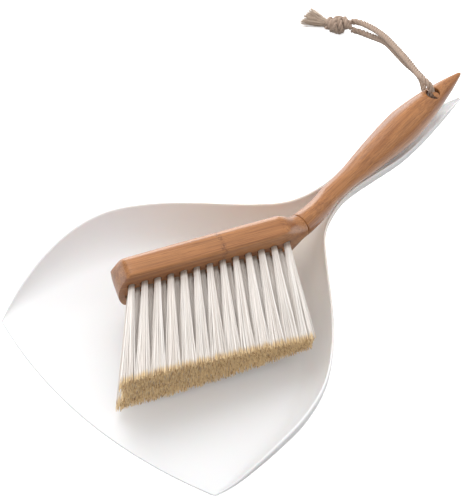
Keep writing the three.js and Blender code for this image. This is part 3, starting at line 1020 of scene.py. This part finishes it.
@dataclass
class TuftPlan:
    """Where each tuft sits in the head and how it fans out: three staggered rows."""

    layout: BrushLayout
    long_row: int = 13
    pitch: float = 8.65
    first: float = 16.6
    row_spacing: float = 6.9
    reach: float = 67.0
    fan_at_joint: float = 11.0
    fan_at_end: float = 26.0
    spread_at_joint: float = -3.4
    spread_at_end: float = 7.5
    middle_overhang: float = 2.6

    @property
    def last(self) -> float:
        """Distance of the last seat from the joint."""
        return self.first + (self.long_row - 1) * self.pitch

    def seats(self) -> list[tuple[str, Array, Array]]:
        """Lists the tufts.

        Returns:
            Each tuft's name, root and tip in the brush's own frame.
        """
        found = []
        face = self.layout.head_centre + self.layout.head_face
        for row, side, shorter in (("front", 1, 0), ("middle", 0, 1), ("back", -1, 0)):
            for i in range(self.long_row - shorter):
                seat = i + shorter / 2
                share = seat / (self.long_row - 1)
                root = np.array([self.first + seat * self.pitch, face, side * self.row_spacing])
                lean = mix(self.fan_at_joint, self.fan_at_end, share)
                spread = side * mix(self.spread_at_end, self.spread_at_joint, (1 - share) ** 2)
                lean += shorter * self.middle_overhang * (2 * share - 1)
                tip = root + np.array([lean, self.reach, spread])
                found.append((f"tuft_{row}_{i + 1:02d}", root, tip))
        return found


@dataclass
class BrushHead:
    """The bamboo block: a flat tuft face with drilled seats, a crowned back and a bowed free end."""

    layout: BrushLayout
    tufts: TuftPlan
    wood: bpy.types.Material
    length: float = 122.7
    bulge: float = 5.5
    width: float = 42.7
    back: float = 9.8
    shoulder: float = 18.0
    back_power: float = 0.8
    face_power: float = 0.14
    end_rounding: float = 6.0
    end_taper: float = 0.15
    back_taper: float = 1.3
    back_taper_from: float = 0.3
    seat_radius: float = 2.5
    seat_sides: int = 20
    seat_profile: tuple[Span, ...] = ((-8.0, 1.0), (-0.5, 1.0), (0.0, 1.13), (3.0, 1.3))
    seam_chamfer: float = 0.35
    bend_rings: int = 22
    plain_from: float = 28.0
    plain_until: float = 10.0
    plain_step: float = 3.0
    end_zone: float = 8.5
    end_rings: int = 34
    end_stop: float = 0.03
    crease: float = 40.0

    def width_at(self, x: float) -> float:
        """Half width of the block, with a rounded corner before the bowed end.

        Args:
            x: distance from the joint.

        Returns:
            The half width.
        """
        share = ease((x - self.layout.joint[0]) / self.shoulder)
        opened = mix(self.layout.joint_width, self.width, share) / 2
        left = max(self.length + self.bulge - x, TINY) / self.bulge
        return float(opened * (1.0 + left ** -self.end_rounding) ** (-0.5 / self.end_rounding))

    def ring(self, centre: Array, along: Array, inset: float = 0.0) -> Array:
        """One ring of the block.

        Args:
            centre: the ring's centre.
            along: direction that the ring is square to.
            inset: how much smaller than the block the ring is.

        Returns:
            The ring's points.
        """
        lay = self.layout
        opened = float(ease((centre[0] - lay.joint[0]) / self.shoulder))
        past = max(centre[0] - self.length, 0.0) / self.bulge
        thinner = self.back_taper * ease(centre[0] / self.length - self.back_taper_from)
        crown = (self.back - thinner) * (1 - self.end_taper * past)
        back = mix(lay.joint_thickness / 2, crown, opened) - inset
        face = mix(lay.joint_thickness / 2, lay.head_face, opened) - inset
        powers = (mix(1.0, self.back_power, opened), mix(1.0, self.face_power, opened))
        return brush_ring(centre, along, self.width_at(centre[0]) - inset, (back, face), powers)

    def build(self) -> bpy.types.Object:
        """Builds the block and drills its tuft seats.

        Returns:
            The piece.
        """
        lay = self.layout
        start = lay.joint - lay.joint_axis * lay.seam_gap / 2
        rings = [self.ring(start, lay.joint_axis, self.seam_chamfer)]
        for t in np.linspace(lay.joint_share - lay.seam_share, 0.0, self.bend_rings):
            rings.append(self.ring(lay.bend_point(t), lay.direction(t)))
        plain = np.arange(self.plain_from, self.length - self.plain_until, self.plain_step)
        last = np.linspace(np.sqrt(1.0 + self.end_zone / self.bulge), self.end_stop, self.end_rings)
        for x in [*plain, *(self.length + self.bulge * (1 - last**2))]:
            rings.append(self.ring(np.array([x, lay.head_centre, 0.0]), BACKWARD))
        points, faces = loft(rings)
        piece = make_piece("brush_block", lay.place(points), faces)
        carve(piece, self.seat_cutter(), self.crease)
        write_attribute(piece, "grain", lay.local(mesh_points(piece)) - lay.joint)
        enlist(piece, Body.BRUSH, self.wood, ["brush_head"])
        return piece

    def seat_cutter(self) -> bpy.types.Object:
        """Makes the drills for the tuft seats, with slightly countersunk mouths.

        Returns:
            All the drills as one mesh object.
        """
        turn = FULL_TURN * np.arange(self.seat_sides) / self.seat_sides
        drills = []
        for _, root, tip in self.tufts.seats():
            axis = unit(tip - root)
            one = unit(np.cross(axis, UP))
            two = np.cross(axis, one)
            circle = np.outer(np.cos(turn), one) + np.outer(np.sin(turn), two)
            rings = [
                root + depth * axis + self.seat_radius * scale * circle for depth, scale in self.seat_profile
            ]
            drills.append(loft(rings))
        points, faces = join_parts(drills)
        return make_piece("seat_cutter", self.layout.place(points), faces)


@dataclass
class BrushHandle:
    """The turned bamboo handle: thin at the neck, full in the palm, pointed, with a hanging hole."""

    layout: BrushLayout
    wood: bpy.types.Material
    diameter: float = 23.6
    neck: float = 13.6
    neck_rows: tuple[Span, ...] = ((0.13, 0.507), (0.2, 0.497))
    palm_rows: tuple[Span, ...] = ((0.29, 0.3), (0.38, 0.37), (0.455, 0.422), (0.54, 0.472), (0.63, 0.497),
                                   (0.7, 0.46), (0.755, 0.415), (0.84, 0.31), (0.914, 0.203), (0.965, 0.11),
                                   (1.0, 0.04))
    samples_along: int = 401
    rounding: float = 4.0
    tip_length: float = 1.6
    tip_rings: int = 7
    tip_blunt: float = 1e-4
    dome_gap: float = 1.0
    ring_step: float = 1.5
    bend_rings: int = 18
    sides: int = 96
    mouth_rounding: float = 1.3
    mouth_steps: int = 6
    mouth_flare: float = 0.9
    mouth_lift: float = 1.5
    mouth_sides: int = 48
    mouth_thinnest: float = 1.0
    seam_chamfer: float = 0.35
    grain_shift: float = 40.0
    crease: float = 50.0

    def __post_init__(self) -> None:
        """Samples the handle's profile and rounds it off."""
        length = self.layout.handle_length
        rows = [(0.0, self.layout.joint_thickness / 2)]
        rows += [(share * length, radius * self.neck) for share, radius in self.neck_rows]
        rows += [(share * length, radius * self.diameter) for share, radius in self.palm_rows]
        self.samples = np.linspace(0.0, length, self.samples_along)
        self.radii = soften(read_rows(rows, self.samples), self.rounding)[:, 0]

    def radius(self, distance: Array | float) -> Array:
        """Radius of the handle, with a small dome at the tip.

        Args:
            distance: distance from the joint.

        Returns:
            The radius.
        """
        full = np.interp(distance, self.samples, self.radii)
        left = np.clip((self.layout.handle_length - distance) / self.tip_length, 0.0, 1.0)
        return full * np.sqrt(1.0 - (1.0 - left) ** 2 + self.tip_blunt)

    def build(self) -> bpy.types.Object:
        """Builds the handle from its tip to the joint and bores the hanging hole.

        Returns:
            The piece.
        """
        lay = self.layout
        ends = lay.handle_length - self.tip_length * np.linspace(0.0, 1.0, self.tip_rings) ** 2
        straight = np.arange(ends[-1] - self.dome_gap, lay.bend_end, -self.ring_step)
        rings = []
        for distance in [*ends, *straight]:
            radius = float(self.radius(distance))
            rings.append(self.ring(lay.handle_axis * distance, lay.handle_axis, radius, radius))
        for t in np.linspace(1.0, lay.joint_share + lay.seam_share, self.bend_rings):
            centre = lay.bend_point(t)
            radius = float(self.radius(np.linalg.norm(centre - lay.joint)))
            share = float(ease((t - lay.joint_share) / (1 - lay.joint_share)))
            rings.append(self.ring(centre, lay.direction(t), mix(lay.joint_width / 2, radius, share), radius))
        end = lay.joint + lay.joint_axis * lay.seam_gap / 2
        across = lay.joint_width / 2 - self.seam_chamfer
        rings.append(self.ring(end, lay.joint_axis, across, lay.joint_thickness / 2 - self.seam_chamfer))
        points, faces = loft(rings)
        piece = make_piece("turned_handle", lay.place(points), faces)
        carve(piece, self.hole_cutter(), self.crease)
        local = lay.local(mesh_points(piece)) - lay.joint
        sideways = local @ np.cross(lay.handle_axis, UP) + self.grain_shift
        write_attribute(piece, "grain", np.stack([-local @ lay.handle_axis, sideways, local[:, 2]], axis=1))
        enlist(piece, Body.BRUSH, self.wood, ["brush_handle"])
        return piece

    def ring(self, centre: Array, along: Array, across: float, radius: float) -> Array:
        """One round or oval ring of the handle."""
        return brush_ring(centre, along, across, (radius, radius), (1.0, 1.0), self.sides)

    def hole_cutter(self) -> bpy.types.Object:
        """Makes the bore of the hanging hole, with mouths rounded along the handle's own surface.

        Returns:
            The bore as a mesh object.
        """
        lay = self.layout
        turn = FULL_TURN * np.arange(self.mouth_sides) / self.mouth_sides
        sideways = np.cross(lay.handle_axis, lay.hole_axis)
        from_joint = lay.handle_length - lay.hole_from_tip
        steps = np.linspace(0.0, np.pi / 2, self.mouth_steps)
        wider = [*(self.mouth_rounding * (1 - np.cos(steps))), self.mouth_rounding + self.mouth_flare]
        lower = [*(self.mouth_rounding * (1 - np.sin(steps))), -self.mouth_lift]
        upper_mouth = []
        lower_mouth = []
        for out, down in zip(wider, lower):
            reach = lay.hole_diameter / 2 + out
            surface = self.radius(from_joint + reach * np.cos(turn))
            square = surface**2 - (reach * np.sin(turn)) ** 2
            height = np.sqrt(np.maximum(square, self.mouth_thinnest)) - down
            spokes = np.outer(np.cos(turn), lay.handle_axis) + np.outer(np.sin(turn), sideways)
            circle = lay.hole + reach * spokes
            rise = np.outer(height, lay.hole_axis)
            upper_mouth.insert(0, circle + rise)
            lower_mouth.append(circle - rise)
        points, faces = loft(upper_mouth + lower_mouth)
        return make_piece("hole_cutter", lay.place(points), faces)


@dataclass
class Tufts:
    """The bristles: one piece for each tuft, bundled at its seat and splayed to a flat-trimmed end."""

    plan: TuftPlan
    pan: DustPan
    hair: bpy.types.Material
    count: int = 170
    segments: int = 7
    root_radius: float = 1.9
    thickness: float = 0.21
    sunk: float = 5.0
    cell: tuple[float, float] = (5.2, 5.0)
    end_widening: float = 1.45
    squareness: float = 0.55
    splay: float = 1.2
    wave: float = 0.34
    trim: float = 0.75
    clearance: float = 0.35
    jitter: float = 0.035
    scatter: float = 0.3
    trim_limits: Span = (-2.2, 0.8)
    beats: Span = (0.5, 1.3)
    wave_growth: float = 1.2
    thickness_spread: Span = (0.8, 1.2)
    mouth_share: float = 0.02
    askew: Triple = (0.13, 0.31, 0.94)
    crease: float = 70.0
    seed: int = 7

    def build(self) -> list[bpy.types.Object]:
        """Builds every tuft.

        Returns:
            The pieces.
        """
        chance = np.random.default_rng(self.seed)
        return [self.tuft(name, root, tip, chance) for name, root, tip in self.plan.seats()]

    def tuft(self, name: str, root: Array, tip: Array, chance: np.random.Generator) -> bpy.types.Object:
        """Builds one tuft.

        Args:
            name: the tuft's name in the model.
            root: where it leaves the head, in the brush's own frame.
            tip: the middle of its trimmed end.
            chance: the source of random numbers.

        Returns:
            The piece.
        """
        disc, spread = self.bundle(root, chance)
        ends = chance.normal(0, self.trim, self.count)
        low, high = self.trim_limits
        trimmed = np.clip(ends, low * self.trim, high * self.trim)
        sunk = unit(tip - root) * self.sunk
        starts = root - sunk + self.across(disc * self.root_radius)
        mouth = starts + sunk
        finish = tip + self.across(spread) + trimmed[:, None] * AHEAD
        share = np.linspace(0.0, 1.0, self.segments + 1)
        early = (share**self.splay - share)[None, :, None]
        bent = mouth[:, None] + (finish - mouth)[:, None] * share[None, :, None]
        bent = bent + early * ((finish - mouth) - (tip - root))[:, None] + self.sway(share, chance)
        lines = np.concatenate([starts[:, None], bent], axis=1)
        placed = self.plan.layout.place(lines.reshape(-1, 3)).reshape(lines.shape)
        lowest = self.pan.top(placed[..., 0], placed[..., 1]) + self.clearance
        placed[..., 2] = np.maximum(placed[..., 2], lowest)
        steps = np.concatenate([[0.0], mix(self.mouth_share, 1.0, share)])
        tones = [chance.random(self.count), chance.random(self.count)]
        piece = self.mesh("bristle_" + name, placed, steps, tones, chance)
        enlist(piece, Body.BRUSH, self.hair, [name])
        return piece

    @staticmethod
    def across(pairs: Array) -> Array:
        """Vectors along the head and across it, from pairs of lengths."""
        return pairs[..., :1] * [1, 0, 0] + pairs[..., 1:] * [0, 0, 1]

    def bundle(self, root: Array, chance: np.random.Generator) -> tuple[Array, Array]:
        """Spaces the hairs of one tuft.

        Args:
            root: where the tuft leaves the head.
            chance: the source of random numbers.

        Returns:
            Each hair's place in a round bundle of radius 1, and at the trimmed end in millimetres.
        """
        number = np.arange(self.count)
        ring = np.sqrt((number + 0.5) / self.count)
        angle = number * np.pi * (3 - np.sqrt(5)) + chance.uniform(0, FULL_TURN)
        disc = np.stack([ring * np.cos(angle), ring * np.sin(angle)], axis=1)
        disc += chance.normal(0, self.jitter, disc.shape)
        square = disc / np.maximum(np.abs(disc).max(axis=1), TINY)[:, None] * ring[:, None]
        wider = mix(1.0, self.end_widening, np.clip(root[0] / self.plan.last, 0.0, 1.0))
        spread = mix(disc, square, self.squareness) * np.array(self.cell) * np.array([1.0, wider])
        return disc, spread + chance.normal(0, self.scatter, spread.shape)

    def sway(self, share: Array, chance: np.random.Generator) -> Array:
        """Gives the hairs of one tuft a gentle wave that grows towards their tips.

        Args:
            share: share of the length at each point of a hair.
            chance: the source of random numbers.

        Returns:
            Offsets, as hairs by points by three.
        """
        phase = chance.uniform(0, FULL_TURN, (self.count, 1, 2))
        beats = chance.uniform(*self.beats, (self.count, 1, 2))
        wave = np.sin(phase + FULL_TURN * beats * share[None, :, None]) - np.sin(phase)
        return self.across(wave * self.wave * share[None, :, None] ** self.wave_growth)

    def mesh(
        self, name: str, lines: Array, steps: Array, tones: list[Array], chance: np.random.Generator
    ) -> bpy.types.Object:
        """Makes the hairs of one tuft.

        Args:
            name: the piece's name.
            lines: hairs by points by three.
            steps: share of the length at each point of a hair.
            tones: two random values for each hair.
            chance: the source of random numbers.

        Returns:
            The mesh object.
        """
        hairs = len(lines)
        thick = self.thickness * chance.uniform(*self.thickness_spread, (hairs, 1, 1, 1))
        turn = chance.uniform(0, FULL_TURN, (hairs, 1, 1)) + FULL_TURN * np.arange(HAIR_SIDES) / HAIR_SIDES
        points, faces = hair_mesh(lines, self.askew, turn, thick)
        piece = make_piece(name, points.reshape(-1, 3), faces, crease=self.crease)
        marks = np.broadcast_arrays(steps[None, :, None], *(tone[:, None, None] for tone in tones))
        strand = np.repeat(np.stack(marks, axis=-1), HAIR_SIDES, axis=2)
        write_attribute(piece, "strand", strand.reshape(-1, 3))
        return piece


# ---------------------------------------------------------------- rope


@dataclass(frozen=True)
class KnotTurn:
    """One run of rope in the knot: how often it goes round, and where along the knot it lies."""

    turns: float
    begin: float
    end: float
    tilt: float
    grow: float
    phase: float


@dataclass
class HangingRope:
    """The jute loop through the handle's hole: two strands, the knot that joins them and its frayed ends."""

    layout: BrushLayout
    jute: bpy.types.Material
    diameter: float = 4.2
    ply_offset: float = 1.2
    ply_radius: float = 1.05
    lay_length: float = 11.0
    plies_in_rope: int = 3
    ply_sides: int = 12
    ply_lumps: float = 0.06
    ply_tint: float = 0.12
    spacing: float = 0.8
    inside: float = 0.15
    outside: float = 0.95
    exit_reach: float = 2.0
    strand_fuzz: tuple[float, int] = (2.0, 240)
    knot_fuzz: tuple[float, int] = (1.9, 60)
    fuzz_margins: tuple[int, int] = (6, 2)
    fuzz_stray: float = 0.16
    fuzz_lift: Span = (0.1, 0.9)
    fuzz_length: Span = (1.5, 3.6)
    fuzz_thickness: float = 0.07
    fibre_rows: int = 6
    fibre_taper: float = 0.6
    fibre_tint: Span = (0.1, 0.9)
    fibre_askew: Triple = (0.2, -0.37, 0.91)
    ground: float = 0.15
    crease: float = 70.0
    knot_axis: Triple = (-0.724, -0.69, 0.0)
    knot_reach: float = 4.15
    knot_turns: tuple[KnotTurn, ...] = (
        KnotTurn(2.1, -5.6, 3.6, 0.0, 0.0, 0.4),
        KnotTurn(1.15, 1.0, -1.2, 3.6, 0.55, 2.1),
        KnotTurn(0.9, 3.2, 6.2, 0.6, -0.5, 4.0),
    )
    knot_tuck: float = 1.6
    knot_tuck_power: int = 6
    knot_samples: int = 150
    tilt_phase: float = 0.7
    turn_plies: Triple = (1.02, 1.12, 11.0)
    core_plies: Triple = (1.7, 1.9, 16.0)
    core_reach: float = 8.6
    core_samples: int = 30
    fray_start: Triple = (-131.4, 331.6, 5.4)
    fray_end: Triple = (-147.4, 328.4, 4.0)
    fray_yarns: int = 9
    fray_hairs: int = 46
    fray_back: float = 1.5
    fray_root: Span = (2.2, 1.2)
    fray_spread: Span = (5.565, 2.3)
    fray_lift: float = 0.75
    fray_lift_turn: float = 2.4
    fray_scatter: Triple = (0.5, 0.9, 0.7)
    fray_lengths: Span = (0.78, 1.03)
    fray_bend: Triple = (0.7, -0.3, 0.6)
    fray_thickness: float = 0.17
    seed: int = 21
    upper: tuple[Triple, ...] = (
        (-1.4, 295.9, 61.6), (-3.4, 295.6, 66.4), (-9.4, 296.7, 66.6), (-18.6, 301.4, 61.5),
        (-38.4, 313, 51), (-57.5, 324.4, 39), (-79.1, 336.1, 26.5), (-98.8, 344.7, 14.5),
        (-112.2, 347.6, 7.6), (-117, 344.8, 7.4))
    lower: tuple[Triple, ...] = (
        (-1.9, 297.2, 45.4), (-4.4, 298.8, 41.4), (-11, 303.2, 40.2), (-26.6, 314.2, 41.6),
        (-45.6, 320, 38), (-62.4, 329.2, 28.6), (-80.6, 338.4, 18.6), (-97, 343.2, 8.3),
        (-107.6, 344.4, 3.6), (-113.4, 341, 4.6))

    def __post_init__(self) -> None:
        """Finds the knot in the frame and the hole in the brush."""
        low, high = (np.array(corner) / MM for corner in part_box("cord_knot"))
        self.knot_centre = (low + high) / 2
        self.hole = self.layout.place(self.layout.hole)
        self.up = self.layout.axes @ self.layout.hole_axis
        self.chance = np.random.default_rng(self.seed)

    def build(self) -> list[bpy.types.Object]:
        """Builds the loop and its strands.

        Returns:
            The two strands, the knot and the frayed ends.
        """
        knot = self.knot()
        fray = self.fray()
        strands = []
        for name, side, points in (("upper", self.up, self.upper), ("lower", -self.up, self.lower)):
            ends = [self.hole + self.inside * side, self.hole + self.outside * self.diameter * side]
            line = through_points(np.vstack([ends, np.array(points, float)]), self.spacing)
            strand = self.rope("rope_" + name, line)
            enlist(strand, Body.CORD, self.jute, [f"rope_strand_{name}"])
            strands.append(strand)
        return [*strands, knot, fray]

    def plies(self, line: Array, offset: float, radius: float, turns_in: float) -> Strands:
        """Twists plies about a line.

        Args:
            line: points along the middle.
            offset: how far a ply's centre is from the line.
            radius: the ply's radius.
            turns_in: length of one full twist.

        Returns:
            Points, faces, and the strand attribute.
        """
        _, one, two = line_frames(line)
        along = distances(line)
        around = FULL_TURN * np.arange(self.ply_sides) / self.ply_sides
        tubes = []
        for ply in range(self.plies_in_rope):
            turn = FULL_TURN * (along / turns_in + ply / self.plies_in_rope)
            out = np.cos(turn)[:, None] * one + np.sin(turn)[:, None] * two
            centre = line + offset * out
            heading = unit(np.gradient(centre, axis=0))
            outward = unit(out - heading * (out * heading).sum(axis=1, keepdims=True))
            sideways = np.cross(heading, outward)
            lumps = self.chance.normal(0, 1, (len(line), self.ply_sides))
            lumps = (lumps + np.roll(lumps, 1, axis=0) + np.roll(lumps, 1, axis=1)) / 3
            spokes = np.cos(around)[:, None] * outward[:, None] + np.sin(around)[:, None] * sideways[:, None]
            reach = radius * (1 + self.ply_lumps * lumps)
            tubes.append(loft(list(centre[:, None] + reach[..., None] * spokes)))
        points, faces = join_parts(tubes)
        return points, faces, np.tile([0.0, self.ply_tint, 0.0], (len(points), 1))

    def hairs(
        self, starts: Array, ways: Array, lifts: Array, lengths: Array, thickness: float
    ) -> Strands:
        """Makes thin curved fibres.

        Args:
            starts: where each fibre leaves.
            ways: the direction that it runs in.
            lifts: how far and which way its end bends off.
            lengths: the fibres' lengths.
            thickness: their radius.

        Returns:
            Points, faces, and the strand attribute.
        """
        share = np.linspace(0, 1, self.fibre_rows)[None, :, None]
        lines = starts[:, None] + ways[:, None] * lengths[:, None, None] * share + lifts[:, None] * share**2
        turn = FULL_TURN * np.arange(HAIR_SIDES) / HAIR_SIDES
        thick = thickness * mix(1.0, self.fibre_taper, share)[..., None]
        points, faces = hair_mesh(lines, self.fibre_askew, turn, thick)
        points[..., 2] = np.maximum(points[..., 2], self.ground)
        marks = np.zeros((len(starts), self.fibre_rows * HAIR_SIDES, 3))
        marks[..., 1] = self.chance.uniform(*self.fibre_tint, (len(starts), 1))
        return points.reshape(-1, 3), faces, marks.reshape(-1, 3)

    def join(self, name: str, parts: list[Strands]) -> bpy.types.Object:
        """Makes one mesh object from several parts.

        Args:
            name: the object's name.
            parts: points, faces and strand attribute of each part.

        Returns:
            The object.
        """
        points, faces = join_parts([part[:2] for part in parts])
        piece = make_piece(name, points, faces, crease=self.crease)
        write_attribute(piece, "strand", np.vstack([marks for _, _, marks in parts]))
        return piece

    def rope(self, name: str, line: Array) -> bpy.types.Object:
        """One strand of the loop with its loose fuzz."""
        twist = self.plies(line, self.ply_offset, self.ply_radius, self.lay_length)
        return self.join(name, [twist, self.fuzz(line, *self.strand_fuzz)])

    def fuzz(self, line: Array, radius: float, count: int) -> Strands:
        """Makes short fibres that stand off a rope.

        Args:
            line: the rope's middle.
            radius: how far out the fibres start.
            count: how many there are.

        Returns:
            Points, faces, and the strand attribute.
        """
        chance = self.chance
        tangent, one, two = line_frames(line)
        first, last = self.fuzz_margins
        pick = chance.integers(first, len(line) - last, count)
        turn = chance.uniform(0, FULL_TURN, count)[:, None]
        out = np.cos(turn) * one[pick] + np.sin(turn) * two[pick]
        along = tangent[pick] * chance.choice([-1, 1], count)[:, None]
        ways = unit(along + chance.normal(0, self.fuzz_stray, (count, 3)))
        lifts = out * chance.uniform(*self.fuzz_lift, count)[:, None]
        lengths = chance.uniform(*self.fuzz_length, count)
        return self.hairs(line[pick] + radius * out, ways, lifts, lengths, self.fuzz_thickness)

    def knot(self) -> bpy.types.Object:
        """Builds the overhand knot: close turns about both strands with one turn laid across them.

        Returns:
            The piece.
        """
        axis = unit(np.array(self.knot_axis))
        side = np.cross(UP, axis)
        t = np.linspace(0.0, 1.0, self.knot_samples)
        parts = []
        for run in self.knot_turns:
            angle = run.phase + FULL_TURN * run.turns * t
            along = mix(run.begin, run.end, t) + run.tilt * np.sin(angle + self.tilt_phase)
            reach = self.knot_reach + run.grow - self.knot_tuck * np.abs(2 * t - 1) ** self.knot_tuck_power
            spoke = np.cos(angle)[:, None] * side + np.sin(angle)[:, None] * UP
            line = self.knot_centre + along[:, None] * axis + reach[:, None] * spoke
            parts.append(self.plies(line, *self.turn_plies))
            parts.append(self.fuzz(line, *self.knot_fuzz))
        core = np.linspace(-self.core_reach, self.core_reach, self.core_samples)[:, None] * axis
        parts.append(self.plies(self.knot_centre + core, *self.core_plies))
        piece = self.join("knot_turns", parts)
        enlist(piece, Body.CORD, self.jute, ["cord_knot"])
        return piece

    def fray(self) -> bpy.types.Object:
        """Builds the frayed ends past the knot: yarn ends that open into fibres.

        Returns:
            The piece.
        """
        chance = self.chance
        start = np.array(self.fray_start)
        reach = np.array(self.fray_end) - start
        way = unit(reach)
        side = unit(np.array([-way[1], way[0], 0.0]))
        up = np.cross(way, side)
        count = self.fray_hairs
        near, out, rise = self.fray_scatter
        bend, sag, sag_scatter = self.fray_bend
        parts = []
        for yarn in range(self.fray_yarns):
            wide = (yarn + 0.5) / self.fray_yarns * 2 - 1
            high = self.fray_lift * np.sin(yarn * self.fray_lift_turn)
            root = side * wide * self.fray_root[0] + up * high * self.fray_root[1] - way * self.fray_back
            starts = start + root + chance.normal(0, near, (count, 3))
            aim = reach + side * wide * self.fray_spread[0] + up * high * self.fray_spread[1]
            ends = aim + chance.normal(0, 1, (count, 1)) * side * out
            ends = ends + chance.normal(0, 1, (count, 1)) * up * rise
            lengths = np.linalg.norm(ends, axis=1) * chance.uniform(*self.fray_lengths, count)
            lifts = side * chance.normal(0, bend, (count, 1))
            lifts = lifts + up * chance.normal(sag, sag_scatter, (count, 1))
            parts.append(self.hairs(starts, unit(ends), lifts, lengths, self.fray_thickness))
        piece = self.join("frayed_ends", parts)
        enlist(piece, Body.CORD, self.jute, ["cord_tassel"])
        return piece


# ---------------------------------------------------------------- studio


@dataclass
class Studio:
    """A white floor, soft daylight from one side and the camera."""

    azimuth: float = 44.9
    elevation: float = 50.0
    distance: float = 2000.0
    target: tuple[float, float, float] = (-26.0, 137.5, 15.0)
    lens: float = 224.8
    sensor: float = 36.0
    sight: float = 100.0
    key_power: float = 5.0
    window_power: float = 15.0
    sky_left: float = 0.98
    sky_right: float = 1.12
    sky_below: float = 0.1
    sky_sides: Span = (-0.75, 0.6)
    sky_rise: Span = (-0.1, 0.42)
    key_place: Triple = (-0.6, 0.05, 1.3)
    key_size: float = 0.9
    key_colour: Triple = (1.0, 0.985, 0.97)
    window_place: Triple = (-1.35, 0.65, 0.32)
    window_size: float = 1.0
    window_colour: Triple = (1.0, 0.99, 0.98)
    floor_half: float = 3.0
    floor_level: float = -0.0004
    floor_grey: float = 0.95
    floor_roughness: float = 0.9
    floor_glow: float = 0.65

    def camera(self) -> None:
        """Makes the scene's camera."""
        a, e = np.radians((self.azimuth, self.elevation))
        back = Vector((np.sin(a) * np.cos(e), -np.cos(a) * np.cos(e), np.sin(e)))
        data = bpy.data.cameras.new("camera")
        data.lens = self.lens
        data.sensor_width = self.sensor
        data.clip_end = self.sight
        camera = bpy.data.objects.new("camera", data)
        bpy.context.scene.collection.objects.link(camera)
        camera.location = (Vector(self.target) + back * self.distance) * MM
        camera.rotation_mode = "QUATERNION"
        camera.rotation_quaternion = (-back).to_track_quat("-Z", "Y")
        bpy.context.scene.camera = camera

    def light(self, name: str, place: Triple, size: float, power: float, colour: Triple) -> None:
        """One square soft box that faces the object.

        Args:
            name: the light's name.
            place: metres from the object's middle.
            size: its side in metres.
            power: watts.
            colour: red, green and blue.
        """
        data = bpy.data.lights.new(name, "AREA")
        data.size = size
        data.energy = power
        data.color = colour
        lamp = bpy.data.objects.new(name, data)
        bpy.context.scene.collection.objects.link(lamp)
        middle = Vector(self.target) * MM
        lamp.location = middle + Vector(place)
        lamp.rotation_mode = "QUATERNION"
        lamp.rotation_quaternion = Vector(place).to_track_quat("Z", "Y")

    def floor(self) -> None:
        """Makes the white floor."""
        half, level, grey = self.floor_half, self.floor_level, self.floor_grey
        corners = [(-half, -half, level), (half, -half, level), (half, half, level), (-half, half, level)]
        mesh = bpy.data.meshes.new("floor")
        mesh.from_pydata(corners, [], [(0, 1, 2, 3)])
        floor = bpy.data.objects.new("floor", mesh)
        bpy.context.scene.collection.objects.link(floor)
        recipe = Recipe("floor")
        recipe.finish({
            "Base Color": (grey, grey, grey, 1.0),
            "Roughness": self.floor_roughness,
            "Emission Color": (1.0, 1.0, 1.0, 1.0),
            "Emission Strength": self.floor_glow,
        })
        mesh.materials.append(recipe.material)
        floor.visible_diffuse = False

    def build(self) -> None:
        """Makes the floor, the lights and the surroundings."""
        self.floor()
        self.light("key", self.key_place, self.key_size, self.key_power, self.key_colour)
        self.light("window", self.window_place, self.window_size, self.window_power, self.window_colour)
        self.surroundings()
        bpy.context.scene.view_settings.view_transform = "Standard"

    def surroundings(self) -> None:
        """Makes an overcast sky: even to left and right, and darker near the ground."""
        world = bpy.data.worlds.new("surroundings")
        world.use_nodes = True
        tree = world.node_tree
        direction = tree.nodes.new("ShaderNodeTexCoord").outputs["Generated"]
        parts = tree.nodes.new("ShaderNodeSeparateXYZ")
        tree.links.new(direction, parts.inputs[0])
        sides = tree.nodes.new("ShaderNodeMapRange")
        sides.interpolation_type = "SMOOTHSTEP"
        rise = tree.nodes.new("ShaderNodeMapRange")
        product = tree.nodes.new("ShaderNodeMath")
        product.operation = "MULTIPLY"
        settings = (
            (sides, 0, (*self.sky_sides, self.sky_left, self.sky_right)),
            (rise, 2, (*self.sky_rise, self.sky_below, 1.0)),
        )
        for number, (node, part, values) in enumerate(settings):
            for socket, value in enumerate(values, start=1):
                node.inputs[socket].default_value = value
            tree.links.new(parts.outputs[part], node.inputs[0])
            tree.links.new(node.outputs[0], product.inputs[number])
        background = tree.nodes["Background"]
        background.inputs["Color"].default_value = (1.0, 1.0, 1.0, 1.0)
        tree.links.new(product.outputs[0], background.inputs["Strength"])
        bpy.context.scene.world = world


def dress_dowel() -> None:
    """Gives the hidden dowel its wood."""
    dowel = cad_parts["handle_dowel"]
    dowel.data.materials.clear()
    dowel.data.materials.append(RawWood().material())


def main() -> None:
    """Builds the camera and the rope first, then the other pieces, in order."""
    logging.basicConfig(level=logging.INFO, format="%(name)s: %(message)s")
    studio = Studio()
    studio.camera()
    layout = BrushLayout()
    HangingRope(layout, Jute().material()).build()
    pan = DustPan()
    pan.build()
    wood = Bamboo().material()
    plan = TuftPlan(layout)
    BrushHead(layout, plan, wood).build()
    BrushHandle(layout, wood).build()
    Tufts(plan, pan, Bristle().material()).build()
    dress_dowel()
    studio.build()


if __name__ == "__main__":
    main()
